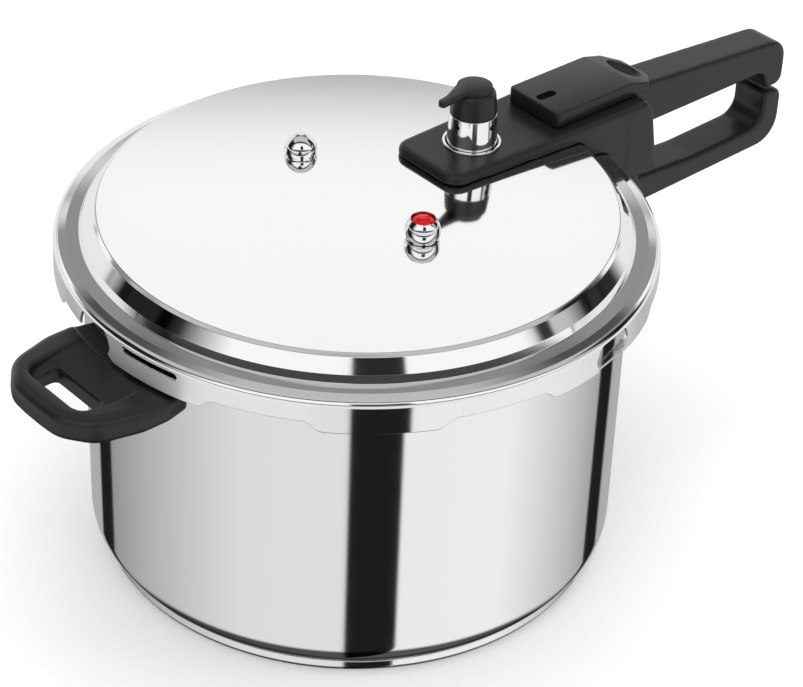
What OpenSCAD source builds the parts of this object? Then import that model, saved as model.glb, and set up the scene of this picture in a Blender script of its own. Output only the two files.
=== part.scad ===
// Stovetop pressure canner with an outer bayonet lid.
// Origin: centre of the base on the table. +Z up, +X along the long handle.

/* [Pot] */
// Outer radius of the pot wall
pot_r = 141; // [120:1:180]
// Thickness of the pot sheet
pot_wall = 1.5; // [1:0.1:3]
// Height of the pot rim above the table
rim_z = 179; // [150:1:260]
// Outer radius of the pot's bottom corner
corner_r = 14; // [10:1:24]
// Radial width of the plain rim flange
rim_flange_w = 4; // [3:0.5:6]
// Radial reach of the rim lugs past the rim flange
lug_reach = 4; // [3:0.5:6]
// Number of bayonet lugs
lug_count = 8; // [6:1:8]
// Angle covered by one pot lug
lug_angle = 20; // [12:1:21]
// Azimuth of the first lug
lug_phase = 11.25; // [0:0.25:45]

/* [Base] */
// Thickness of the stainless base cap
cap_t = 0.8; // [0.5:0.1:1.5]
// Thickness of the aluminium heat spreader
core_t = 4.2; // [3:0.2:8]
// Distance from the pot wall in to the base cap's rim
cap_inset = 6; // [5:0.5:10]
// Edge radius of the base cap
cap_edge_r = 3; // [2:0.5:3.5]
// Height that the cap's rim stands past the heat spreader
cap_lip = 1.6; // [0.5:0.1:1.8]

/* [Lid] */
// Thickness of the lid sheet
lid_wall = 1.5; // [1:0.1:2]
// Height of the lid flange's top above the pot rim
flange_rise = 6.5; // [6:0.5:9]
// Clear radial space between rim lugs and lid skirt
skirt_gap = 5; // [4:0.5:8]
// Radius of the rounded edge between flange and skirt
skirt_edge_r = 5; // [3:0.5:5.5]
// Depth of the skirt's tabs below the flange top
tab_depth = 19.5; // [17:0.5:24]
// How much shorter the skirt is between two tabs
scallop_h = 3.4; // [2:0.2:5]
// Angle covered by one skirt tab
tab_angle = 28; // [22:1:32]
// Angle covered by one inward lip of the skirt
lip_angle = 18; // [12:1:21]
// Inner radius of the flat flange
flange_in_r = 142; // [125:0.5:144]
// Radial width of the steep step inside the flange
step_w = 1.8; // [1:0.1:3]
// Height of the steep step inside the flange
step_h = 3.8; // [2:0.1:6]
// Radial width of the sloped ring
slope_w = 5; // [3:0.5:8]
// Height of the sloped ring
slope_h = 6.7; // [4:0.1:10]
// Radial width of the shoulder between ring and dome
shoulder_w = 1.8; // [1:0.1:3]
// Height of the shoulder between ring and dome
shoulder_h = 1.2; // [0.5:0.1:2]
// Rise of the dome from its edge to the centre
dome_rise = 3; // [2:0.5:12]
// Azimuth of the gasket window's centre
window_azimuth = -170; // [-180:1:180]
// Angle covered by the gasket window
window_angle = 14; // [8:1:18]
// Height of the gasket window
window_h = 4.4; // [3:0.2:6]
// Azimuths of the two skirt notches
notch_azimuths = [-76.6, 172]; // [-180:1:180]
// Width of a skirt notch
notch_w = 22; // [12:1:26]
// Height of a skirt notch above the tab edge
notch_h = 12; // [8:0.5:14]

/* [Gasket] */
// Inner radius of the sealing ring
gasket_in_r = 137; // [110:0.5:139]
// Clear radial space between sealing ring and the lid's rounded edge
gasket_gap = 0.5; // [0.3:0.1:2]
// Clear height above and below the sealing ring
gasket_clear = 0.3; // [0.2:0.1:0.5]

/* [Long handles] */
// Distance of the upper handle's front end from the pot's axis
handle_front = 43; // [40:1:60]
// Height of the upper handle's top above the lid flange
handle_top_rise = 20; // [18:0.5:30]
// Width of the upper handle at its front end
handle_front_w = 49; // [38:1:50]
// Width of the upper handle's housing at its rear end
housing_w = 57; // [50:1:64]
// Length of the housing past the lid skirt
housing_tail = 28; // [24:1:40]
// Depth of the housing's tail below the lid flange
tail_drop = 24.5; // [22:0.5:30]
// Clear gap between the upper and the lower handle
handle_gap = 1; // [0.6:0.1:2]
// Width of the two long grips
grip_w = 23; // [18:1:30]
// Distance of the grips' far end from the lid skirt
grip_reach = 156; // [120:1:180]
// Height of the upper grip at its root
grip_h = 26; // [20:1:32]
// Fall of the upper grip's top from root to end
grip_fall = 8; // [4:0.5:12]
// Distance of the upper grip's top below the housing's top
grip_step = 1.2; // [0.5:0.1:4]
// Length of the hooked ends of the grips
hook_l = 14; // [10:1:20]
// Depth of the upper grip's hooked end
hook_h = 12; // [8:1:14]
// Height of the lower handle's block
block_h = 33; // [28:1:38]
// Thickness of the lower grip
lower_grip_t = 15.5; // [10:1:18]
// Width of the lower handle's block
block_w = 32; // [28:1:40]
// Open height between the two grips
grip_open = 35; // [30:1:45]

/* [Side handle] */
// Reach of the side handle past the pot wall
side_reach = 61; // [55:1:80]
// Width of the side handle at the pot wall
side_root_w = 85; // [70:1:95]
// Width of the side handle at its outer end
side_end_w = 62; // [50:1:70]
// Thickness of the side handle's loop
side_loop_t = 14; // [10:1:18]
// Bar width of the side handle's loop
side_bar_w = 13; // [12:1:18]
// Length of the sloped apron inside the loop
side_apron_l = 20; // [14:1:24]
// Height of the side handle's root block
side_block_h = 27; // [22:1:34]
// Clear height between the side handle and the lid's tabs
side_clear = 1.4; // [1:0.2:4]

/* [Lock] */
// Length of the lock button
button_l = 77; // [60:1:84]
// Width of the lock button
button_w = 38.4; // [30:0.4:44]
// Height of the lock button above the housing
button_h = 9; // [6:0.5:12]
// Distance of the lock button's front from the pot's axis
button_front = 120.5; // [112:0.5:130]
// Travel of the lock
lock_travel = 6; // [4:0.5:6]
// Width of the lock bar
bar_w = 8; // [6:0.5:10]
// Thickness of the lock bar
bar_t = 2; // [1.5:0.1:2.2]
// Clear gap around the lock's sliding pieces
lock_clear = 0.4; // [0.3:0.1:0.8]

/* [Pressure regulator] */
// Distance of the vent pipe from the pot's axis
vent_x = 77; // [62:1:86]
// Radius of the vent pipe
vent_pipe_r = 4; // [3:0.1:5]
// Radius of the vent pipe's bore
vent_bore_r = 1.6; // [1:0.1:2.5]
// Outer radius of the regulator sleeve's foot
sleeve_r = 13.4; // [11:0.1:15]
// How much the sleeve narrows towards its top
sleeve_taper = 0.9; // [0.2:0.1:2]
// Height of the regulator sleeve
sleeve_h = 17.4; // [14:0.2:24]
// Wall of the regulator sleeve
sleeve_wall = 1; // [0.6:0.1:1.6]
// Radius of the four steam holes
steam_hole_r = 1.5; // [1:0.1:2.5]
// Height of the selector cap above the sleeve
selector_h = 13; // [10:0.5:18]
// Thickness of the selector's lever
lever_t = 2.6; // [2:0.1:4]
// Reach of the lever from the regulator's axis
lever_reach = 27; // [20:1:36]
// Radius of the bright ring around the regulator
ring_r = 15.6; // [14:0.1:19]
// Clear gap between the regulator and what surrounds it
valve_clear = 0.4; // [0.3:0.1:0.8]

/* [Safety valve and indicator] */
// Position of the safety valve on the dome
safety_pos = [5, 53]; // [-80:1:80]
// Outer radius of the safety valve's dome
safety_r = 8.6; // [7:0.1:12]
// Position of the pressure indicator on the dome
indicator_pos = [1, -48]; // [-80:1:80]
// Outer radius of the indicator's ball
indicator_r = 9; // [7:0.1:12]
// Height of the straight foot below the two domes
foot_h = 2.4; // [1.5:0.1:4]
// Radius of the indicator's red button
float_r = 6.2; // [4:0.1:7]
// Rise of the red button under pressure
float_travel = 4; // [2:0.5:5]
// Lift of the safety valve's piston
safety_travel = 2; // [1:0.5:2.5]
// Radius of the threaded stems that pass the lid
stem_r = 5; // [4:0.5:6]
// Radial clearance of a stem in its lid hole
stem_clear = 0.2; // [0.1:0.1:0.4]
// Width across the flats of the hex nuts
nut_af = 15; // [13:1:18]
// Height of the hex nuts
nut_h = 5; // [3:0.5:7]

/* [Hidden] */

$fn = 96;
eps = 0.01;
overcut = 1;

steel_colour = [0.86, 0.87, 0.88];
dark_steel_colour = [0.6, 0.61, 0.63];
alu_colour = [0.75, 0.76, 0.78];
black_colour = [0.1, 0.1, 0.1];
silicone_colour = [0.82, 0.82, 0.8];
brass_colour = [0.78, 0.64, 0.32];
red_colour = [0.8, 0.05, 0.05];

// Pot
base_t = cap_t + core_t;
cap_r = pot_r - cap_inset;
core_gap = 0.3;
pot_in_r = pot_r - pot_wall;
rim_flange_r = pot_r + rim_flange_w;
lug_r = rim_flange_r + lug_reach;
lug_pitch = 360 / lug_count;

// Lid: skirt, flange, step, sloped ring, shoulder, dome
skirt_in_r = lug_r + skirt_gap;
skirt_r = skirt_in_r + lid_wall;
flange_z = rim_z + flange_rise;
tab_z = flange_z - tab_depth;
lip_clear = 0.6;
lip_in_r = lug_r + lip_clear;
step_r = flange_in_r - step_w;
step_z = flange_z + step_h;
slope_r = step_r - slope_w;
slope_z = step_z + slope_h;
dome_edge_r = slope_r - shoulder_w;
dome_edge_z = slope_z + shoulder_h;
dome_z = dome_edge_z + dome_rise;
dome_ball_r = (pow(dome_edge_r, 2) + pow(dome_rise, 2)) / (2 * dome_rise);
dome_ball_z = dome_z - dome_ball_r;
window_z = flange_z - skirt_edge_r - window_h / 2 - 1.2;

// Height of the dome's outer surface at a distance from the axis
function dome_at(r) = dome_ball_z + sqrt(pow(dome_ball_r, 2) - r * r);
// Height of the dome's inner surface at a distance from the axis
function under_at(r) = dome_at(r) - lid_wall;
// Points of the dome's section from its edge to the axis, raised by a height
dome_steps = 12;
function dome_curve(rise) = [for (i = [dome_steps:-1:0])
    let (r = dome_edge_r * i / dome_steps) [r, dome_at(r) + rise]];
// The same points from the axis to the edge
function dome_curve_back(rise) = [for (i = [0:dome_steps])
    let (r = dome_edge_r * i / dome_steps) [r, dome_at(r) + rise]];

// Handles
seat_gap = 0.2;
handle_z = flange_z + handle_top_rise;
handle_under_z = dome_z + seat_gap;
housing_r = skirt_r + housing_tail;
tail_z = flange_z - tail_drop;
block_z = tail_z - handle_gap;
grip_end = skirt_r + grip_reach;
grip_top_z = handle_z - grip_step;
grip_under_z = grip_top_z - grip_h;
lower_top_z = grip_under_z - grip_open;
lower_under_z = lower_top_z - lower_grip_t;
hook_under_z = grip_under_z - hook_h;
hook_meet_z = hook_under_z - 2.5 * handle_gap;
front_corner_r = 9;

// Handle brackets on the pot
bracket_t = 2;
bracket_r = pot_r + bracket_t;
bracket_h = 20;
bracket_w = 26;
bracket_mid_z = block_z - block_h / 2;
tongue_w = 12;
tongue_l = 18;
pad_gap = 0.3;
screw_r = 2.5;
screw_hole_gap = 0.1;
screw_head_r = 4.5;
screw_head_h = 3;

// Lock: a bar under the housing's roof with a tongue that hangs past the skirt
bar_z = handle_under_z + lock_clear;
bar_x0 = button_front + 12;
tongue_x = skirt_r + 3 + lock_travel;
bar_x1 = tongue_x + bar_t;
tongue_end_z = block_z - 7;
cavity_h = bar_t + 2 * lock_clear;
button_z = handle_z + lock_clear;
button_flat_l = 57.5;
button_nose_h = 1.2;
lock_post_w = 6;
lock_post_xs = [button_front + 18, button_front + 38];
lock_screw_r = 1.5;

// Regulator
sleeve_z = handle_z + lock_clear;
sleeve_top_z = sleeve_z + sleeve_h;
sleeve_top_r = sleeve_r - sleeve_taper;
ring_in_r = sleeve_r + valve_clear + 0.2;
ring_t = 1.2;
ring_tube_r = ring_in_r + 1;
pipe_flange_r = 8;
pipe_flange_h = 3.5;
pipe_top_z = sleeve_top_z - 6;
weight_bore_r = vent_pipe_r + valve_clear;
weight_r = sleeve_top_r - sleeve_wall - 0.3;
weight_neck_r = 8.4;
spring_seat_z = sleeve_top_z + 0.4;
cap_room_r = 8.6;
selector_z = sleeve_top_z + 0.4;
selector_foot_r = sleeve_top_r - 0.1;
selector_top_r = selector_foot_r - 1.2;
selector_top_z = selector_z + selector_h;
lever_disc_r = 9.3;
lever_tip_r = 2.1;
post_r = 2.6;

// Screws of the upper handle, behind the regulator's ring
handle_screw_xs = [vent_x + 20, vent_x + 36];
lid_bracket_t = 1.5;
lid_bracket_half_w = 7;
lid_bracket_clear = 0.3;

// Small valves
// Each seat clears the highest point of the curved dome under its own edge
washer_t = 1.2;
washer_r = stem_r + 3;
safety_z = dome_at(norm(safety_pos) - safety_r);
indicator_z = dome_at(norm(indicator_pos) - indicator_r);
vent_z = dome_at(vent_x - washer_r);
safety_under_z = under_at(norm(safety_pos) + washer_r);
indicator_under_z = under_at(norm(indicator_pos) + washer_r);
vent_under_z = under_at(vent_x + nut_af / sqrt(3));
dome_shell_t = 1.2;
piston_r = 1.8;
piston_head_r = 3.4;
float_stem_r = 1.9;
float_gap = 0.3;
slide_clear = 0.3;

// ---------------------------------------------------------------- helpers

// A ring sector between two radii and two heights, centred on an azimuth
module sector(r0, r1, z0, z1, azimuth, angle) {
    rotate([0, 0, azimuth - angle / 2])
        rotate_extrude(angle = angle, $fn = 360)
            translate([r0, z0]) square([r1 - r0, z1 - z0]);
}

// A hexagonal nut with a round hole
module hex_nut(af, hole_r, h) {
    difference() {
        cylinder(r = af / sqrt(3), h = h, $fn = 6);
        translate([0, 0, -overcut]) cylinder(r = hole_r, h = h + 2 * overcut);
    }
}

// Points along an arc, from angle a0 to angle a1
function arc(x, z, r, a0, a1, steps = 12) =
    [for (i = [0:steps]) let (a = a0 + (a1 - a0) * i / steps) [x + r * cos(a), z + r * sin(a)]];

// A flat ring
module ring(r0, r1, h) {
    difference() {
        cylinder(r = r1, h = h);
        translate([0, 0, -overcut]) cylinder(r = r0, h = h + 2 * overcut);
    }
}

// A pan-head screw that points down, its head's underside at z = 0
module screw(r, l, head_r, head_h) {
    translate([0, 0, -l]) cylinder(r = r, h = l + eps);
    difference() {
        cylinder(r1 = head_r, r2 = head_r * 0.8, h = head_h);
        translate([-head_r, -0.5, head_h - 1]) cube([2 * head_r, 1, 2]);
    }
}

// A helical compression spring as one swept tube
module coil_spring(r, wire_r, h, turns) {
    steps = 14;
    sides = 8;
    n = turns * steps;
    rise = h - 2 * wire_r;
    function spot(i, k) = let (
            a = 360 * i / steps,
            q = 360 * k / sides,
            rr = r + wire_r * cos(q))
        [rr * cos(a), rr * sin(a), wire_r + rise * i / n + wire_r * sin(q)];
    points = [for (i = [0:n]) for (k = [0:sides - 1]) spot(i, k)];
    walls = [for (i = [0:n - 1]) for (k = [0:sides - 1]) let (k2 = (k + 1) % sides)
        each [[i * sides + k, i * sides + k2, (i + 1) * sides + k2],
              [i * sides + k, (i + 1) * sides + k2, (i + 1) * sides + k]]];
    first = [for (k = [sides - 1:-1:0]) k];
    last = [for (k = [0:sides - 1]) n * sides + k];
    polyhedron(points, concat(walls, [first, last]));
}

// The lid's outer surface as a solid, grown by a gap, to cut what sits on the lid
module lid_envelope(gap) {
    rotate_extrude($fn = 360)
        polygon(concat([
            [0, 0], [skirt_r + gap, 0], [skirt_r + gap, flange_z + gap],
            [flange_in_r + gap, flange_z + gap], [step_r + gap, step_z + gap],
            [slope_r + gap, slope_z + gap]
        ], dome_curve(gap)));
}

// ---------------------------------------------------------------- pot

// The pot's wall, corner and floor, drawn between two radii of the corner
module pot_profile() {
    floor_z = base_t;
    corner_in_r = corner_r - pot_wall;
    corner_x = pot_r - corner_r;
    corner_z = floor_z + corner_r;
    translate([pot_in_r, corner_z]) square([pot_wall, rim_z - corner_z]);
    translate([0, floor_z]) square([corner_x, pot_wall]);
    translate([corner_x, corner_z]) intersection() {
        difference() {
            circle(r = corner_r);
            circle(r = corner_in_r);
        }
        translate([0, -corner_r]) square([corner_r, corner_r]);
    }
    translate([pot_in_r, rim_z - pot_wall])
        square([rim_flange_r - pot_in_r, pot_wall]);
}

module pot_shell() {
    color(steel_colour) {
        rotate_extrude($fn = 360) pot_profile();
        for (i = [0:lug_count - 1])
            sector(rim_flange_r - eps, lug_r, rim_z - pot_wall, rim_z,
                lug_phase + i * lug_pitch, lug_angle);
    }
}

module base_core() {
    r = cap_r - cap_t - core_gap;
    color(alu_colour) rotate_extrude($fn = 360) polygon([
        [0, cap_t], [r - cap_edge_r, cap_t], [r, cap_t + cap_edge_r], [r, base_t], [0, base_t]
    ]);
}

module base_cap() {
    // a shallow dish whose edge turns up past the heat spreader
    rim = base_t + cap_lip;
    edge_in_r = cap_edge_r - cap_t;
    color(steel_colour) rotate_extrude($fn = 360) {
        square([cap_r - cap_edge_r, cap_t]);
        translate([cap_r - cap_edge_r, cap_edge_r]) intersection() {
            difference() {
                circle(r = cap_edge_r);
                circle(r = edge_in_r);
            }
            translate([0, -cap_edge_r]) square([cap_edge_r, cap_edge_r]);
        }
        translate([cap_r - cap_t, cap_edge_r]) square([cap_t, rim - cap_edge_r]);
    }
}

// A curved plate on the pot wall with a tongue that a handle slides over
module pot_bracket(mid_z, w, h) {
    angle = 2 * asin(w / 2 / pot_r);
    difference() {
        union() {
            sector(pot_r, bracket_r, mid_z - h / 2, mid_z + h / 2, 0, angle);
            translate([bracket_r - bracket_t / 2, -tongue_w / 2, mid_z - bracket_t / 2])
                cube([tongue_l, tongue_w, bracket_t]);
        }
        translate([bracket_r + tongue_l / 2, 0, mid_z - bracket_t])
            cylinder(r = screw_r, h = 2 * bracket_t);
    }
}

module lower_handle_bracket() {
    color(dark_steel_colour) pot_bracket(bracket_mid_z, bracket_w, bracket_h);
}

// Room for a bracket's tongue, its plate and its screw inside a handle
module bracket_room(mid_z, foot_z) {
    screw_x = bracket_r + tongue_l / 2;
    translate([0, 0, foot_z - overcut]) cylinder(r = bracket_r + pad_gap,
        h = rim_z - foot_z, $fn = 360);
    translate([pot_r, -tongue_w / 2 - pad_gap, mid_z - bracket_t / 2 - pad_gap])
        cube([bracket_t + tongue_l + 2 * pad_gap, tongue_w + 2 * pad_gap,
            bracket_t + 2 * pad_gap]);
    translate([screw_x, 0, foot_z - overcut])
        cylinder(r = screw_r + screw_hole_gap, h = mid_z - foot_z + 8 + overcut);
    translate([screw_x, 0, foot_z - overcut])
        cylinder(r = screw_head_r + 0.3, h = screw_head_h + 1 + overcut);
}

// Side outline of the lower handle: block, long grip and turned-up end
module lower_handle_outline() {
    post_x = grip_end - hook_l;
    block_end = housing_r + 12;
    block_under_z = block_z - block_h;
    inner_r = 10;
    outer_r = 18;
    end_rise = 3;
    arc_z = lower_under_z + end_rise + outer_r;
    polygon(concat(
        [[pot_r, block_z], [housing_r + 2, block_z], [housing_r + 5, block_z - 3],
         [block_end - 3, lower_top_z + 5], [block_end + 3, lower_top_z]],
        arc(post_x - inner_r, lower_top_z + inner_r, inner_r, -90, 0),
        [[post_x, hook_meet_z - 2], [post_x + 2, hook_meet_z],
         [grip_end - 3, hook_meet_z], [grip_end, hook_meet_z - 3]],
        arc(grip_end - outer_r, arc_z, outer_r, 0, -90),
        [[block_end + 6, lower_under_z], [block_end - 10, block_under_z],
         [pot_r, block_under_z]]
    ));
}

module lower_handle() {
    track_in_r = tongue_x - 1;
    track_out_r = bar_x1 + 1;
    notch_half = bar_w / 2 + 0.8;
    color(black_colour) difference() {
        union() {
            intersection() {
                rotate([90, 0, 0]) linear_extrude(block_w, center = true)
                    lower_handle_outline();
                translate([pot_r, -block_w / 2, 0]) cube([housing_r + 8 - pot_r, block_w, rim_z]);
            }
            rotate([90, 0, 0]) linear_extrude(grip_w, center = true) lower_handle_outline();
        }
        bracket_room(bracket_mid_z, block_z - block_h);
        // the track that the lock's tongue sweeps through when the lid turns
        sector(track_in_r, track_out_r, tongue_end_z - 0.6, block_z + overcut, 0, 30);
        // the notch that holds the tongue when the lock is forward
        translate([tongue_x - lock_travel - 1, -notch_half, tongue_end_z - 0.6])
            cube([lock_travel + 1, 2 * notch_half, block_h]);
    }
}

module lower_handle_screw() {
    color(steel_colour)
        translate([bracket_r + tongue_l / 2, 0, block_z - block_h + screw_head_h + 1])
            rotate([180, 0, 0]) screw(screw_r, bracket_mid_z - block_z + block_h
                - screw_head_h + 4, screw_head_r, screw_head_h);
}

// ---------------------------------------------------------------- side handle

side_top_z = tab_z - side_clear;
side_under_z = side_top_z - side_loop_t;
side_block_z = side_top_z - side_block_h;
side_bracket_z = side_under_z - 6;
side_end_x = pot_r + side_reach;
side_apron_x = skirt_r - 0.5;
side_room_x = side_apron_x + side_apron_l;
side_screw_x = bracket_r + tongue_l / 2;

// Plan of the side handle's loop, drawn towards +X
module side_outline(inset) {
    corner = 16;
    root = side_root_w / 2 - inset;
    tip = side_end_w / 2 - inset;
    bulge = 6;
    hull() {
        translate([pot_r - 20, -root]) square([20, 2 * root]);
        for (s = [-1, 1])
            translate([side_end_x - inset - corner - bulge, s * (tip - corner + 4)])
                circle(r = corner - inset / 2, $fn = 48);
        translate([side_end_x - inset - 30, 0]) circle(r = 30, $fn = 64);
    }
}

module side_handle() {
    room_w = side_end_w - 2 * side_bar_w;
    color(black_colour) rotate([0, 0, 180]) difference() {
        union() {
            translate([0, 0, side_under_z])
                linear_extrude(side_loop_t) side_outline(0);
            // root block that reaches down over the bracket
            translate([0, 0, side_block_z]) linear_extrude(side_block_h - side_loop_t + eps)
                polygon([
                    [pot_r - 10, -side_end_w / 2], [pot_r + 20, -side_end_w / 2 + 2],
                    [pot_r + 30, -side_end_w / 2 + 10], [pot_r + 30, side_end_w / 2 - 10],
                    [pot_r + 20, side_end_w / 2 - 2], [pot_r - 10, side_end_w / 2]
                ]);
        }
        // finger room, behind the apron
        translate([side_room_x, -room_w / 2 - 4, side_block_z - overcut])
            cube([side_end_x - side_bar_w - side_room_x, room_w + 8, side_block_h + 2 * overcut]);
        // the apron slopes down towards the finger room
        translate([side_apron_x, -room_w / 2 - 8, side_top_z])
            rotate([0, 12, 0]) cube([side_apron_l + 2, room_w + 16, side_loop_t]);
        // the root passes under the lid's skirt
        translate([0, 0, side_top_z - 3]) cylinder(r = skirt_r - 1, h = 20, $fn = 360);
        bracket_room(side_bracket_z, side_block_z);
    }
}

module side_handle_bracket() {
    color(dark_steel_colour) rotate([0, 0, 180])
        pot_bracket(side_bracket_z, side_end_w - 16, side_block_h - side_loop_t);
}

module side_handle_screw() {
    color(steel_colour) rotate([0, 0, 180])
        translate([side_screw_x, 0, side_block_z + screw_head_h + 1])
            rotate([180, 0, 0])
                screw(screw_r, side_bracket_z - side_block_z, screw_head_r, screw_head_h);
}

// ---------------------------------------------------------------- lid

module gasket() {
    z0 = rim_z + gasket_clear;
    z1 = flange_z - lid_wall - gasket_clear;
    out_r = skirt_r - skirt_edge_r - gasket_gap;
    lip_w = 2.4;
    color(silicone_colour) rotate_extrude($fn = 360) {
        translate([gasket_in_r, (z0 + z1) / 2 - 0.8]) square([out_r - gasket_in_r, 1.6]);
        translate([gasket_in_r, z0]) square([lip_w, z1 - z0]);
        translate([out_r - lip_w, z0]) square([lip_w, z1 - z0]);
    }
}

// Section of the lid: skirt, rounded edge, flange, step, sloped ring, shoulder, dome
module lid_profile() {
    w = lid_wall;
    edge_x = skirt_r - skirt_edge_r;
    edge_z = flange_z - skirt_edge_r;
    translate([skirt_in_r, tab_z]) square([w, edge_z - tab_z]);
    translate([edge_x, edge_z]) intersection() {
        difference() {
            circle(r = skirt_edge_r);
            circle(r = skirt_edge_r - w);
        }
        square([skirt_edge_r, skirt_edge_r]);
    }
    translate([flange_in_r, flange_z - w]) square([edge_x - flange_in_r, w]);
    polygon(concat(
        [[flange_in_r, flange_z], [step_r, step_z], [slope_r, slope_z]],
        dome_curve(0), dome_curve_back(-w),
        [[slope_r - 0.5 * w, slope_z - w], [step_r - w, step_z - 0.4 * w],
         [flange_in_r - w, flange_z - w], [flange_in_r, flange_z - w]]
    ));
}

// Skirt cuts: the scallops between tabs, the gasket window and the notches
module lid_scallops() {
    for (i = [0:lug_count - 1])
        sector(skirt_in_r - overcut, skirt_r + overcut, tab_z - overcut, tab_z + scallop_h,
            lug_phase + (i + 0.5) * lug_pitch, lug_pitch - tab_angle);
}

module lid_window() {
    end_angle = window_angle / 2 - asin(window_h / 2 / skirt_r);
    sector(skirt_in_r - overcut, skirt_r + overcut, window_z - window_h / 2,
        window_z + window_h / 2, window_azimuth, 2 * end_angle);
    for (s = [-1, 1])
        rotate([0, 0, window_azimuth + s * end_angle])
            translate([skirt_in_r - overcut, 0, window_z]) rotate([0, 90, 0])
                cylinder(r = window_h / 2, h = lid_wall + 2 * overcut);
}

module lid_notches() {
    for (a = notch_azimuths)
        rotate([0, 0, a]) translate([lip_in_r - overcut, 0, tab_z + notch_h - notch_w / 2]) {
            rotate([0, 90, 0]) cylinder(r = notch_w / 2, h = 2 * skirt_edge_r);
            translate([0, -notch_w / 2, -notch_w]) cube([2 * skirt_edge_r, notch_w, notch_w]);
        }
}

module lid_holes() {
    for (p = [[vent_x, 0], safety_pos, indicator_pos])
        translate([p[0], p[1], dome_edge_z - 10]) cylinder(r = stem_r + stem_clear, h = 20);
    for (x = handle_screw_xs)
        translate([x, 0, dome_edge_z - 10]) cylinder(r = screw_r + stem_clear, h = 20);
}

module lid_shell() {
    color(steel_colour) union() {
        difference() {
            difference() {
                rotate_extrude($fn = 360) lid_profile();
                lid_holes();
            }
            lid_scallops();
            lid_window();
            lid_notches();
        }
        difference() {
            for (i = [0:lug_count - 1])
                sector(lip_in_r, skirt_in_r + eps, tab_z, tab_z + lid_wall,
                    lug_phase + i * lug_pitch, lip_angle);
            lid_notches();
        }
    }
}

module lid_bracket() {
    // a strip under the housing, held by the two screws
    color(dark_steel_colour) difference() {
        translate([handle_screw_xs[0] - lid_bracket_half_w, -lid_bracket_half_w, handle_under_z])
            cube([handle_screw_xs[1] - handle_screw_xs[0] + 2 * lid_bracket_half_w,
                2 * lid_bracket_half_w, lid_bracket_t]);
        for (x = handle_screw_xs)
            translate([x, 0, handle_under_z - overcut])
                cylinder(r = screw_r, h = lid_bracket_t + 2 * overcut);
    }
}

// Plan of the housing: narrow round front, wider tail
module housing_plan() {
    hull() {
        for (s = [-1, 1])
            translate([handle_front + front_corner_r, s * (handle_front_w / 2 - front_corner_r)])
                circle(r = front_corner_r, $fn = 48);
        for (s = [-1, 1])
            translate([housing_r - 4, s * (housing_w / 2 - 4)]) circle(r = 4, $fn = 32);
    }
}

// Side outline of the upper grip with its hooked end
module grip_outline() {
    hook_x = grip_end - hook_l;
    end_top_z = grip_top_z - grip_fall;
    end_r = 14;
    difference() {
        hull() {
            translate([housing_r - 10, grip_under_z]) square([1, grip_h]);
            translate([hook_x, grip_under_z]) square([1, 1]);
            translate([grip_end - end_r, end_top_z - end_r]) circle(r = end_r, $fn = 64);
            translate([grip_end - 3, hook_under_z + 3]) circle(r = 3, $fn = 32);
            translate([hook_x + 3, hook_under_z + 3]) circle(r = 3, $fn = 32);
        }
        hull() {
            translate([hook_x - 12, grip_under_z - 12]) circle(r = 12, $fn = 64);
            translate([0, grip_under_z - 60]) square([hook_x, 50]);
        }
    }
}

module upper_handle() {
    cavity_x0 = bar_x0 - lock_travel - 3;
    cavity_x1 = bar_x1 + 1;
    color(black_colour) difference() {
        union() {
            translate([0, 0, tail_z]) linear_extrude(handle_z - tail_z) housing_plan();
            rotate([90, 0, 0]) linear_extrude(grip_w, center = true) grip_outline();
        }
        lid_envelope(seat_gap);
        // room for the vent pipe and the regulator's ring
        translate([vent_x, 0, tail_z]) cylinder(r = ring_tube_r + 0.2, h = handle_z);
        // bracket and screws
        translate([handle_screw_xs[0] - lid_bracket_half_w - lid_bracket_clear,
                -lid_bracket_half_w - lid_bracket_clear, handle_under_z - 3])
            cube([handle_screw_xs[1] - handle_screw_xs[0]
                    + 2 * (lid_bracket_half_w + lid_bracket_clear),
                2 * (lid_bracket_half_w + lid_bracket_clear), 3 + lid_bracket_t + 0.2]);
        for (x = handle_screw_xs)
            translate([x, 0, tail_z]) cylinder(r = screw_r, h = handle_z - tail_z - 1);
        // channel of the lock bar and shaft of its tongue
        translate([cavity_x0, -bar_w / 2 - lock_clear, handle_under_z - 3])
            cube([cavity_x1 - cavity_x0, bar_w + 2 * lock_clear, cavity_h + 3]);
        translate([tongue_x - lock_travel - 0.8, -bar_w / 2 - lock_clear, tail_z - overcut])
            cube([cavity_x1 - tongue_x + lock_travel + 0.8, bar_w + 2 * lock_clear,
                handle_under_z - tail_z + 2 * overcut]);
        for (x = lock_post_xs)
            translate([x - lock_travel - lock_post_w / 2 - lock_clear,
                    -lock_post_w / 2 - lock_clear, handle_under_z])
                cube([lock_travel + lock_post_w + 2 * lock_clear,
                    lock_post_w + 2 * lock_clear, 20]);
    }
}

module upper_handle_screws() {
    color(steel_colour) for (x = handle_screw_xs)
        translate([x, 0, under_at(x + screw_head_r)]) rotate([180, 0, 0])
            screw(screw_r, handle_z - 1.6 - under_at(x), screw_head_r, 2.4);
}

// ---------------------------------------------------------------- regulator

module regulator_ring() {
    color(steel_colour) translate([vent_x, 0, 0]) {
        translate([0, 0, handle_z]) ring(ring_in_r, ring_r, ring_t);
        translate([0, 0, handle_z - 3]) ring(ring_in_r, ring_tube_r, 3 + eps);
    }
}

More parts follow.
